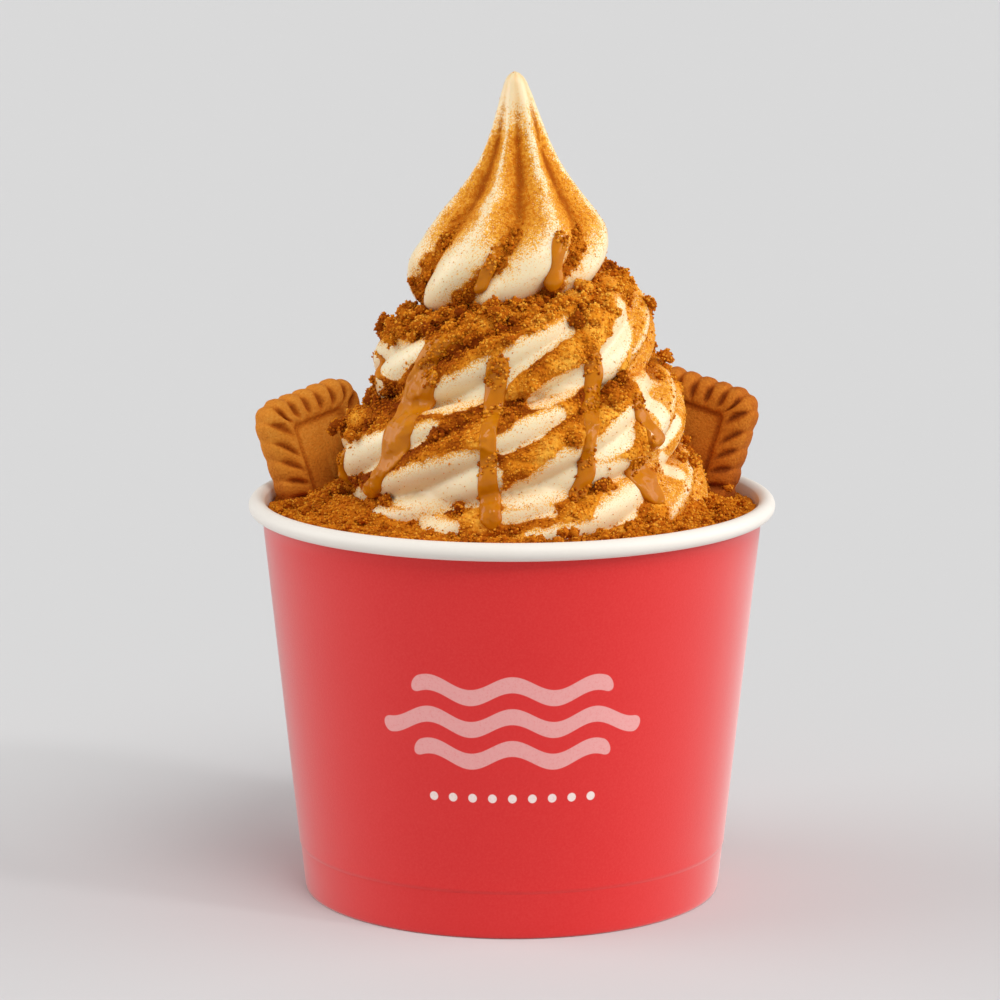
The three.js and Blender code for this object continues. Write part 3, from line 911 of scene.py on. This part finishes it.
def coverPeak(mesh):
    points, normals = pointsOf(mesh), normalsOf(mesh)
    height = points[:, 2]
    turn = anglesOf(points, tableAt(peak["middle"], height))
    around = turn + 90 - tableAt(peak["curl"], height)
    phase = around * swirl["flutes"] / 360 + 0.5
    across = phase - np.round(phase)
    wander = lumps(points, 4.0, 5) * 0.6 + lumps(points, 1.3, 6) * 0.4
    valley = np.abs(across) * 2 + 0.2 * wander
    belowTip = ramp(peak["tip"] - height + 2 * wander, *peakCover["bareTip"])
    onHem = ramp(height - 3 * wander, *peakCover["hem"])
    body = peakCover["crestDust"] + peakCover["slopeDust"] * ramp(valley, 0.06, 0.3)
    body += peakCover["valleyDust"] * ramp(valley, 0.4, 0.8)
    crest, slope, deep = peakCover["hemDust"]
    hem = crest + slope * ramp(valley, 0.2, 0.5) + deep * ramp(valley, 0.6, 0.85)
    dust = (body * (1 - onHem) + hem * onHem) * belowTip
    crust = ramp(valley, 0.66, 0.85) * ramp(height - 5 * wander, *peakCover["crust"])
    crust *= height > peakCover["crustFoot"]
    grain = lumps(points, 0.9, 7)
    movePoints(mesh, points + normals * (crust * peakCover["thick"] * (0.6 + 0.6 * grain))[:, None])
    # painted shade: darker in the valleys between the lobes, at the hem's foot and towards the tip
    ends = ramp(-height, -142, -131) + ramp(height, peak["tip"] - 16, peak["tip"] - 4)
    shade = 0.12 + 0.7 * ramp(valley, 0.3, 1.0) * (1 - 0.9 * crust) + 0.3 * ends
    powder, clumps = np.clip(dust - 0.2, 0, 1) * 0.8 + 0.01, ramp(crust, 0.5, 0.9)
    crust = crust * 0.9
    store(mesh, crust=crust, dust=dust, shade=shade, powderAt=powder, grainsAt=crust, clumpsAt=clumps)


ropeInputs = ("start", "end", "pitch", "heightAtRight", "flutes", "fluteDepth", "twist", "turnZero",
              "centreX", "taper")
ropeValues = {name: swirl[name] for name in ropeInputs}
peakValues = {"flutes": swirl["flutes"], "fluteDepth": peak["fluteDepth"], "tilt": peak["tilt"]}
ropeValues["material"] = peakValues["material"] = yogurt
core = turned("core", swirl["core"], 48, closed=False)
ropeSkin = kneaded(joined("rope", [grow(ropeTree, ropeValues), core]), swirl["voxel"], swirl["smoothing"])
peakSkin = kneaded(grow(peakTree, peakValues), peak["voxel"], peak["smoothing"])
coverRope(ropeSkin)
coverPeak(peakSkin)
addPiece("swirlRope", ropeSkin, "yogurt", "yogurt_swirl", yogurt)
addPiece("swirlPeak", peakSkin, "yogurt", "yogurt_swirl", yogurt)
fill = turned("yogurtFill", swirl["fill"], 96, closed=False)
bare = np.zeros(len(fill.vertices))
store(fill, crust=bare, dust=bare, shade=bare)
addPiece("yogurtFill", fill, "yogurt", "yogurt_swirl", yogurt)
print("swirl made:", 2 * len(ropeSkin.polygons), 2 * len(peakSkin.polygons))

# The bed of crumbs between the swirl and the cup's wall, heaped up at the sides.
bed = {
    "inside": 24.0,
    "outside": 53.4,
    "bottom": 80.4,
    "level": 84.9,
    "heap": 4.2,
    "atFront": 0.1,
    "bump": 0.9,
    "highest": 89.5,
    "slices": 300,
    "rings": 44,
    "clearOfWall": 1.2,
}


def bedSurface():
    rings, slices = bed["rings"], bed["slices"]
    radii = np.linspace(bed["outside"], bed["inside"], rings)
    angles = np.arange(slices) * 2 * math.pi / slices
    around, radius = [side.ravel() for side in np.meshgrid(angles, radii, indexing="ij")]
    heap = bed["heap"] * (bed["atFront"] + (1 - bed["atFront"]) * np.cos(around) ** 2)
    share = ramp(-radius, -bed["outside"], -39)
    heights = bed["level"] + heap * share ** 2
    points = np.column_stack([radius * np.cos(around), radius * np.sin(around), heights])
    points[:, 2] += bed["bump"] * (lumps(points, 5.0, 8) * 0.6 + lumps(points, 1.8, 9) * 0.5)
    points[:, 2] = np.minimum(points[:, 2], bed["highest"])
    count = len(points)
    faces = []
    for side in range(slices):
        here, following = side * rings, (side + 1) % slices * rings
        faces += rowFaces(here, following, rings, closed=False)
        faces.append((count + side, count + (side + 1) % slices, following, here))
    lower = [(bed["outside"] * math.cos(a), bed["outside"] * math.sin(a), bed["bottom"]) for a in angles]
    mesh = meshOf("crumbBed", np.vstack([points, lower]), faces)
    spots = pointsOf(mesh)
    onTop = (np.hypot(spots[:, 0], spots[:, 1]) < bed["outside"] - bed["clearOfWall"]) * 1.0
    clumps = onTop * np.clip(0.5 + lumps(spots, 8.0, 13), 0, 1)
    store(mesh, tone=0.35 + 0.25 * lumps(spots, 1.2, 10), grainsAt=onTop, clumpsAt=clumps)
    return mesh


addPiece("crumbBed", bedSurface(), "crumb", "crumb_bed", crumbs)
print("crumb bed made")

# Caramel: thick runs down the swirl. Each has its width, how much wider its last drop is, and a route of
# (angle, height) places.
caramelRuns = [
    (2.6, 1.2, [(-176, 119.5), (-168, 118), (-158, 114.5)]),
    (7.4, 1.05, [(-124, 126), (-132, 119.5), (-139, 114), (-137, 109), (-134.5, 105), (-136, 100.5),
                 (-142, 96), (-147, 92), (-149, 90)]),
    (4.6, 1.0, [(-126, 119.5), (-130, 113), (-131, 108), (-133, 103.5)]),
    (4.9, 1.05, [(-98, 123), (-100, 113.5), (-100, 105.5), (-100, 95), (-98, 87)]),
    (4.4, 1.0, [(-57, 123), (-58, 115), (-64, 110.5), (-66.5, 104), (-67, 98), (-71, 92)]),
    (4.6, 2.1, [(-42, 114), (-41, 108), (-38, 104), (-36, 100.5)]),
    (8.0, 1.3, [(-47, 101), (-44, 97), (-42, 93.5), (-41, 90)]),
    (3.4, 1.3, [(-163, 99.5), (-167, 96), (-170, 92.5), (-170, 90)]),
    (4.0, 1.15, [(-63, 147.5), (-66, 142), (-69, 134.5)]),
    (3.0, 1.1, [(-105, 143), (-110, 138.5), (-116, 134)]),
    (3.2, 1.6, [(34, 117), (30, 109), (38, 100), (36, 92)]),
    (3.8, 1.3, [(78, 126), (74, 117), (80, 108), (76, 97)]),
    (3.4, 1.5, [(112, 112), (118, 104), (114, 93)]),
    (3.0, 1.4, [(150, 121), (146, 112), (152, 103)]),
]
caramelShape = {
    "thick": 0.95,
    "step": 0.35,
    "across": 19,
    "flatness": 2.0,
    "sunk": 1.4,
    "proud": 0.05,
    "bridge": 17,
    # the drop's middle before the run's end, and its reach
    "dropPlace": (1.9, 2.6),
    # a run's mean width as a share, how far it swells, and how often
    "waist": (0.86, 0.14, 9),
    "topRound": 1.6,
    "voxel": 0.25,
    "smoothing": 8,
    "clearOfGrains": 0.45,
    "clearOfClumps": 1.7,
    # angles at which crumbs lie over the sauce, and how far each side of them
    "crumbed": [(-100, 8), (-65, 9), (76, 12)],
    # how far from its top a run's crumbs start to thin out, and end
    "crumbedTops": (3.0, 5.0),
}


# Evenly spaced places on a smooth line through the route, and its length.
def curveThrough(route, step):
    route = np.array(route, float)
    padded = np.vstack([2 * route[0] - route[1], route, 2 * route[-1] - route[-2]])
    t = np.linspace(0, 1, 24, endpoint=False)[:, None]
    fine = []
    for a, b, c, d in zip(padded, padded[1:], padded[2:], padded[3:]):
        cubic = (3 * b - a - 3 * c + d) * t ** 3 + (2 * a - 5 * b + 4 * c - d) * t ** 2
        fine.append(0.5 * (2 * b + (c - a) * t + cubic))
    fine = np.vstack(fine + [route[-1:]])
    run = np.concatenate([[0], np.cumsum(np.hypot(np.diff(fine[:, 0]) * 0.6, np.diff(fine[:, 1])))])
    even = np.linspace(0, run[-1], max(8, int(run[-1] / step)))
    return np.column_stack([np.interp(even, run, fine[:, k]) for k in (0, 1)]), run[-1]


# Distance of the swirl's outermost skin from its axis, at angles and heights.
def swirlReach(angles, heights, trees):
    found = np.full(np.shape(angles), 20.0)
    for spot in np.ndindex(found.shape):
        angle = angles[spot] * degree
        outward = Vector((math.cos(angle), math.sin(angle), 0))
        start = Vector((swirl["centreX"], 0, heights[spot])) + outward * 60
        for tree in trees:
            hit = tree.ray_cast(start * mm, -outward, 60 * mm)
            if hit[3] is not None:
                found[spot] = max(found[spot], 60 - hit[3] / mm)
    return found


# Moving average along the first axis, ends kept.
def smoothed(values, width):
    kernel = np.hanning(width + 2)[1:-1]
    padded = np.pad(values, ((width // 2, width // 2), (0, 0)), mode="edge")
    return np.column_stack([np.convolve(column, kernel / kernel.sum(), "valid") for column in padded.T])


# The width and swelling along a run: it narrows and widens, and ends in a drop.
def runSwelling(width, drop, length, count):
    share = np.linspace(0, 1, count)
    before, reach = caramelShape["dropPlace"]
    mean, more, waves = caramelShape["waist"]
    dropAt = np.exp(-((share - 1 + before / length) / (reach / length)) ** 2)
    swell = (mean + more * np.cos(share * waves + width)) * (1 - dropAt) + drop * dropAt
    fromTop, fromEnd = share * length / caramelShape["topRound"], (1 - share) * length / (width * drop / 2)
    return swell, np.sqrt(np.clip(np.minimum(fromTop, fromEnd), 0, 1)), dropAt


def caramelRun(width, drop, route, trees):
    line, length = curveThrough(route, caramelShape["step"])
    count, across = len(line), caramelShape["across"]
    swell, ends, dropAt = runSwelling(width, drop, length, count)
    halfWidth = width / 2 * swell * ends
    side = np.linspace(-1, 1, across)
    reach = swirlReach(line[:, :1], line[:, 1:], trees)[:, 0]
    angles = line[:, :1] + np.degrees(halfWidth[:, None] * side / reach[:, None])
    heights = np.repeat(line[:, 1:], across, axis=1)
    skin = swirlReach(angles, heights, trees)
    # sauce bridges the narrow folds
    skin = np.maximum(skin, smoothed(skin, caramelShape["bridge"]))
    thick = caramelShape["thick"] * (0.8 * swell + 0.5 * (drop - 0.8) * dropAt)[:, None] * ends[:, None]
    dome = thick * np.sqrt(np.clip(1 - np.abs(side) ** caramelShape["flatness"], 0, 1))
    sheets = []
    for distance in (skin + dome + caramelShape["proud"], skin - caramelShape["sunk"]):
        x, y = swirl["centreX"] + distance * np.cos(angles * degree), distance * np.sin(angles * degree)
        sheets.append(np.stack([x, y, heights], axis=2).reshape(-1, 3))
    under, faces = count * across, []
    last = under - across
    for row in range(0, last, across):
        after, right = row + across, row + across - 1
        faces += rowFaces(row, after, across, closed=False, flipped=True)
        faces += rowFaces(under + row, under + after, across, closed=False)
        faces += [(row, after, under + after, under + row)]
        faces += [(right, under + right, under + right + across, right + across)]
    faces += rowFaces(0, under, across, closed=False)
    faces += rowFaces(last, under + last, across, closed=False, flipped=True)
    return meshOf("caramelRun", np.vstack(sheets), faces)


# Crumbs keep off the sauce; the 0.999 lets in places just out of reach.
def clearUnder(mesh, sauceTree):
    far = caramelShape["clearOfClumps"] * mm
    away = np.array([sauceTree.find_nearest(vertex.co, far)[3] or far for vertex in mesh.vertices]) / mm
    for name, clear in (("powderAt", "Grains"), ("grainsAt", "Grains"), ("clumpsAt", "Clumps")):
        store(mesh, **{name: read(mesh, name) * (away >= caramelShape["clearOf" + clear] * 0.999)})


# Crumbs lie over the tops of the runs, and over some of them where they cross a crease.
def crumbOver(mesh):
    points = pointsOf(mesh)
    angles = anglesOf(points, swirl["centreX"])
    across = ropePlaces(points)[2]
    sides = caramelShape["crumbed"]
    covered = sum(window(angles, middle - reach, middle + reach, 2) for middle, reach in sides)
    covered *= ramp(np.abs(across) + 0.08 * lumps(points, 2.5, 15), 0.3, 0.36) * (points[:, 2] < 130)
    for width, drop, route in caramelRuns:
        angle, height = route[0]
        away = np.hypot((angles - angle) * cover["patchRadius"] * degree, points[:, 2] - height)
        away += lumps(points, 2.5, 16)
        covered = np.maximum(covered, 1 - ramp(away, *caramelShape["crumbedTops"]))
    store(mesh, grainsAt=covered)


swirlTrees = [treeOf(ropeSkin), treeOf(peakSkin)]
runs = joined("caramelRuns", [caramelRun(*run, swirlTrees) for run in caramelRuns])
sauce = kneaded(runs, caramelShape["voxel"], caramelShape["smoothing"])
crumbOver(sauce)
addPiece("caramelRuns", sauce, "caramel", "yogurt_swirl", caramel)
for skin in (ropeSkin, peakSkin):
    clearUnder(skin, treeOf(sauce))
print("caramel made:", 2 * len(sauce.polygons))

# The biscuits: an oblong with a scalloped, slotted border round a sunken plain panel; top edge at z = 0.
biscuit = {
    "width": 26.0,
    "length": 52.0,
    "thickness": 7.6,
    "corner": 5.5,
    "widthPoints": 8,
    "lengthPoints": 18,
    "cornerPoints": 4,
    "finer": 10,
    "scallop": 0.5,
    "slotDepth": 1.3,
    "slotWidth": (0.16, 0.38),
    "slotFan": 0.55,
    "leastCorner": 1.2,
    # from the top edge down, where the painted shade on the foot starts and is full
    "darkFoot": (11, 25),
    # inset from the outline, depth behind the face, share of the scallop, share of the slot
    "steps": [(12.4, 7.6, 0, 0), (6, 7.6, 0, 0), (1.6, 7.5, 0.3, 0), (0.6, 7.0, 0.7, 0),
              (0.1, 6.2, 1, 0), (0, 5.2, 1, 0), (0.05, 4.2, 1, 0), (0.3, 3.0, 1, 0),
              (0.7, 2.1, 1, 0.25), (1.2, 1.35, 0.9, 0.5), (1.8, 0.8, 0.7, 0.75), (2.4, 0.42, 0.5, 0.95),
              (3.0, 0.18, 0.3, 1), (3.6, 0.05, 0.1, 1), (4.2, 0, 0, 0.95), (4.7, 0, 0, 0.8),
              (5.2, 0.04, 0, 0.5), (5.7, 0.15, 0, 0.2), (6.1, 0.38, 0, 0), (6.5, 0.72, 0, 0),
              (6.8, 0.95, 0, 0), (7.2, 1.05, 0, 0), (7.8, 1.03, 0, 0), (8.6, 1.0, 0, 0),
              (9.8, 0.98, 0, 0), (11, 0.98, 0, 0), (12.4, 0.98, 0, 0)],
    "tones": [(0.1, (0.84, 0.37, 0.06)), (0.4, (0.68, 0.235, 0.022)), (0.7, (0.44, 0.11, 0.007)),
              (1.0, (0.22, 0.042, 0.003))],
}
# Where the middle of each biscuit's top edge is, how it is turned, and how much shade is painted on the whole
# biscuit (below 0, painted light).
biscuitPlaces = {
    "biscuitLeft": {"top": (-46.4, 13.8, 108.6), "yaw": 33, "lean": -13, "back": 11, "seed": 21,
                    "darker": -0.08, "node": "biscuit_left"},
    "biscuitRight": {"top": (43.5, 13.5, 111.3), "yaw": -19, "lean": 14.5, "back": 8.5, "seed": 22,
                     "darker": 0.2, "node": "biscuit_right"},
}


def biscuitMaterial():
    material, wire = newMaterial("bakedBiscuit")
    spot = objectPlace(wire)
    grain = speckle(wire, spot, 0.55, 3.0, 0.65)
    patch = speckle(wire, spot, 7.0, 3.0)
    # darker in the slots and at the edge, with painted shade on the foot and the panel's sunken edge, painted
    # shade on the right biscuit and painted light on the left
    tone = attribute(wire, "bake") * 0.8 + grain * 0.5 + patch * 0.25 - 0.17
    finishMaterial(wire, {
        "Base Color": tones(wire, tone, biscuit["tones"]),
        "Roughness": 0.75,
        "Specular IOR Level": 0.1,
        "Normal": bump(wire, grain + speckle(wire, spot, 1.4, 2.0) * 0.7, 0.8, 0.4),
    })
    return material


# Points round an oblong, as many on every size of it.
def oblong(halfWidth, halfLength, corner):
    corners = [(1, -1), (1, 1), (-1, 1), (-1, -1)]
    centres = [np.array([x * (halfWidth - corner), z * (halfLength - corner)]) for x, z in corners]
    points = []
    for k, centre in enumerate(centres):
        angle, following = k * 90, centres[(k + 1) % 4]
        for i in np.arange(0, biscuit["cornerPoints"], 1 / biscuit["finer"]):
            turn = (angle - 90 + 90 * i / biscuit["cornerPoints"]) * degree
            points.append(centre + corner * np.array([math.cos(turn), math.sin(turn)]))
        outward = np.array([math.cos(angle * degree), math.sin(angle * degree)])
        straight = biscuit["widthPoints"] if k % 2 else biscuit["lengthPoints"]
        for i in np.arange(0, straight, 1 / biscuit["finer"]):
            points.append(centre + (following - centre) * i / straight + corner * outward)
    return np.array(points)


# How far along the row of slots each point of a ring is; the slots fan out from the biscuit's middle.
def slotPlaces(outer, ring):
    count = len(outer)
    places = np.arange(count) / biscuit["finer"] / 2
    whole = count / biscuit["finer"] / 2
    outward, around = [np.unwrap(np.arctan2(side[:, 1], side[:, 0])) for side in (outer, ring)]
    turns = np.concatenate([outward - 2 * math.pi, outward, outward + 2 * math.pi])
    radial = np.interp(around, turns, np.concatenate([places - whole, places, places + whole]))
    return places + biscuit["slotFan"] * (radial - places)


def biscuitMesh(name, seed, darker):
    halfWidth, halfLength = biscuit["width"] / 2, biscuit["length"] / 2
    outer = oblong(halfWidth, halfLength, biscuit["corner"])
    count = len(outer)
    wobble = lumps(np.column_stack([outer, np.zeros(count)]), 6.0, seed)
    wave = np.exp(-((slotPlaces(outer, outer) + 0.05 * wobble) % 1 * 2 - 1) ** 2 / 0.18)
    rings, bakes = [], []
    for inset, depth, scallop, deep in biscuit["steps"]:
        inset = min(inset, halfWidth - 0.4)
        corner = max(biscuit["corner"] - inset, min(biscuit["leastCorner"], halfWidth - inset - 0.1))
        ring = oblong(halfWidth - inset, halfLength - inset, corner)
        inward = -ring / np.linalg.norm(ring, axis=1)[:, None]
        ring = ring + inward * (biscuit["scallop"] * scallop * wave)[:, None]
        fromSlot = np.abs((slotPlaces(outer, ring) + 0.05 * wobble) % 1 * 2 - 1)
        # a slot is widest in the middle of the border
        least, widest = biscuit["slotWidth"]
        slot = np.exp(-(fromSlot / (least + (widest - least) * deep)) ** 2)
        cut = biscuit["slotDepth"] * deep * slot * (1 + 0.25 * wobble)
        depths = depth + cut - biscuit["thickness"] / 2
        rings.append(np.column_stack([ring[:, 0], depths, ring[:, 1] - halfLength]))
        # darker in the slots and at the outer edge; painted shade on the panel's sunken edge, on the foot
        # below, and over the whole biscuit by darker
        bakedAndShaded = 0.25 + darker + 0.6 * deep * slot + 0.12 * (inset < 0.5) + 0.3 * (6.4 < inset < 7.6)
        bakedAndShaded = bakedAndShaded + 0.35 * ramp(halfLength - ring[:, 1], *biscuit["darkFoot"])
        bakes.append(np.clip(bakedAndShaded, 0, 1))
    points = np.vstack(rings)
    faces = []
    for k in range(len(rings) - 1):
        faces += rowFaces(k * count, (k + 1) * count, count, flipped=True)
    first, last, final = len(points), len(points) + 1, (len(rings) - 1) * count
    points = np.vstack([points, rings[0].mean(axis=0), rings[-1].mean(axis=0)])
    for i in range(count):
        j = (i + 1) % count
        faces += [(first, j, i), (last, final + i, final + j)]
    points += np.column_stack([lumps(points, 2.2, seed + k) for k in (1, 2, 3)]) * 0.06
    points[:, 1] += lumps(points, 9.0, seed + 4) * 0.16
    mesh = meshOf(name, points, faces)
    store(mesh, bake=np.append(np.concatenate(bakes), [0.3, 0.22 + darker]))
    return mesh


bakedAndShaded = biscuitMaterial()
for name, put in biscuitPlaces.items():
    mesh = biscuitMesh(name, put["seed"], put["darker"])
    turn = Matrix.Rotation(put["yaw"] * degree, 4, "Z") @ Matrix.Rotation(-put["back"] * degree, 4, "X")
    turn = turn @ Matrix.Rotation(put["lean"] * degree, 4, "Y")
    mesh.transform(Matrix.Translation(Vector(put["top"]) * mm) @ turn)
    addPiece(name, mesh, "biscuit", put["node"], bakedAndShaded)
print("biscuits made")

# Loose crumbs: powder, grains, and clumps that are cores with grains stuck on. Each row says what they lie
# on, the attribute that says where, the kind, the most to a square millimetre, the least distance between
# two, the sizes, the lift off the surface, and the tones from dark 0 to pale 1.
looseCrumbs = {
    "powderOnSwirl": (("swirlRope", "swirlPeak"), "powderAt", "powder",
                      3.2, 0.22, (0.18, 0.38), 0.1, (0.7, 1.15)),
    "clumpsOnPeak": (("swirlPeak",), "clumpsAt", "core", 0.3, 1.2, (0.8, 2.6), 0.05, (0.2, 0.6)),
    "clumpsOnSwirl": (("swirlRope",), "clumpsAt", "core", 0.3, 1.3, (1.1, 4.4), 0.1, (0.1, 0.5)),
    "clumpsOnBed": (("crumbBed",), "clumpsAt", "core", 0.12, 1.9, (1.4, 4.0), 0.1, (0.05, 0.45)),
    "grainsOnSwirl": (("swirlRope", "swirlPeak"), "grainsAt", "grain",
                      1.9, 0.37, (0.34, 0.8), 0.15, (0.3, 0.95)),
    "grainsOnSauce": (("caramelRuns",), "grainsAt", "grain", 1.9, 0.4, (0.4, 1.0), 0.15, (0.0, 0.9)),
    "grainsOnBed": (("crumbBed",), "grainsAt", "grain", 1.6, 0.38, (0.36, 0.92), 0.12, (0.15, 0.9)),
    "grainsOnClumps": (("clumpsOnSwirl", "clumpsOnPeak"), "grainsAt", "grain",
                       2.2, 0.4, (0.38, 0.95), 0.1, (0.25, 0.95)),
    "grainsOnBedClumps": (("clumpsOnBed",), "grainsAt", "grain", 2.0, 0.38, (0.36, 0.92), 0.1, (0.0, 0.85)),
}
crumbKinds = {
    # how many shapes, faces round and along each, roughness, balls in each
    "powder": (4, (3, 2), 0.4, 1),
    "grain": (8, (4, 2), 0.7, 1),
    "core": (8, (5, 3), 0.6, 3),
}


# One rough ball, about 1 mm across.
def roughBall(seed, sides, rough, placing):
    shape = bmesh.new()
    bmesh.ops.create_uvsphere(shape, u_segments=sides[0], v_segments=sides[1], radius=0.55)
    for vertex in shape.verts:
        spot = vertex.co * 2.2 + Vector((seed * 3.7, seed, 0))
        vertex.co *= 1 + rough * noise.noise(spot) + rough * 0.6 * noise.noise(spot * 2.7)
    shape.transform(placing)
    ball = bpy.data.meshes.new("ball")
    shape.to_mesh(ball)
    shape.free()
    return ball


# A crumb about 1 mm across, of one or more balls stuck together.
def crumbMesh(name, seed, sides, rough, balls):
    draw = np.random.default_rng(seed)
    parts = []
    for k in range(balls):
        size = draw.uniform(0.5, 0.75) if balls > 1 else 1.0
        spot = draw.normal(0, 0.2, 3) * (1.25, 1.0, 0.6) if balls > 1 else (0, 0, 0)
        turn = Matrix.Rotation(draw.uniform(0, 6), 4, Vector(draw.normal(0, 1, 3)))
        placing = Matrix.Scale(mm, 4) @ Matrix.Translation(Vector(spot)) @ turn @ Matrix.Scale(size, 4)
        parts.append(roughBall(seed * 31 + k, sides, rough, placing))
    return joined(name, parts)


def crumbBox(name, count, sides, rough, balls):
    box = bpy.data.collections.new(name)
    for k in range(count):
        mesh = crumbMesh(name + str(k), k + 20 * balls, sides, rough, balls)
        box.objects.link(bpy.data.objects.new(name + str(k), mesh))
    return box


def crumbTree(values):
    wires = newTree("looseCrumbs", values)
    surface, seed = wires["Geometry"], wires["seed"]

    def named(name):
        return surface.add("GeometryNodeInputNamedAttribute", {"data_type": "FLOAT"}, {"Name": name})

    def between(least, most, seed):
        sockets = {2: least, 3: most, "Seed": seed}
        return surface.add("FunctionNodeRandomValue", {"data_type": "FLOAT"}, sockets, 1)

    spread = {"Mesh": surface, "Distance Min": wires["apart"], "Density Max": wires["most"],
              "Density Factor": named(wires["where"]), "Seed": seed}
    points = surface.add("GeometryNodeDistributePointsOnFaces", {"distribute_method": "POISSON"}, spread)
    normal = Wire(points.tree, points.socket.node.outputs["Normal"])
    anyTurn = {1: (6.28, 6.28, 6.28), "Seed": seed}
    spin = surface.add("FunctionNodeRandomValue", {"data_type": "FLOAT_VECTOR"}, anyTurn)
    turn = surface.add("FunctionNodeEulerToRotation", None, {"Euler": spin})
    size = between(wires["smallest"], wires["largest"], seed + 1)
    # painted shade: crumbs darker where shade is painted on the surface under them, lighter where light is
    # painted
    tone = between(wires["darkest"], wires["palest"], seed + 2) - named("shade") * crumbLook["shaded"]
    lift = {0: normal, "Scale": size * wires["lift"] * mm}
    lift = surface.add("ShaderNodeVectorMath", {"operation": "SCALE"}, lift)
    moved = surface.add("GeometryNodeSetPosition", None, {"Geometry": points, "Offset": lift})
    kinds = {"Collection": wires["crumbs"], "Separate Children": True, "Reset Children": True}
    kinds = surface.add("GeometryNodeCollectionInfo", None, kinds)
    put = {"Points": moved, "Instance": kinds, "Pick Instance": True, "Rotation": turn, "Scale": size}
    put = surface.add("GeometryNodeInstanceOnPoints", None, put)
    toned = surface.add("GeometryNodeStoreNamedAttribute", {"data_type": "FLOAT", "domain": "INSTANCE"},
                        {"Geometry": put, "Name": "tone", "Value": tone})
    return endTree(toned, wires["material"])


crumbBoxes = {kind: crumbBox(kind, *shape) for kind, shape in crumbKinds.items()}
for index, (name, row) in enumerate(looseCrumbs.items()):
    surfaces, where, kind, most, apart, (smallest, largest), lift, (darkest, palest) = row
    values = {"where": where, "crumbs": crumbBoxes[kind], "most": most / mm ** 2, "apart": apart * mm,
              "smallest": smallest, "largest": largest, "lift": lift, "darkest": darkest, "palest": palest,
              "seed": 10 * index, "material": crumbs}
    made = [grow(crumbTree, values, bpy.data.objects[surface].data.copy()) for surface in surfaces]
    mesh = joined(name, made)
    if kind == "core":
        store(mesh, grainsAt=np.ones(len(mesh.vertices)))
    addPiece(name, mesh, "crumb", "crumb_bed" if "Bed" in name else "yogurt_swirl", crumbs)
    print(name + ":", sum(len(face.vertices) - 2 for face in mesh.polygons))

for box in crumbBoxes.values():
    for holder in list(box.objects):
        bpy.data.objects.remove(holder)
    bpy.data.collections.remove(box)
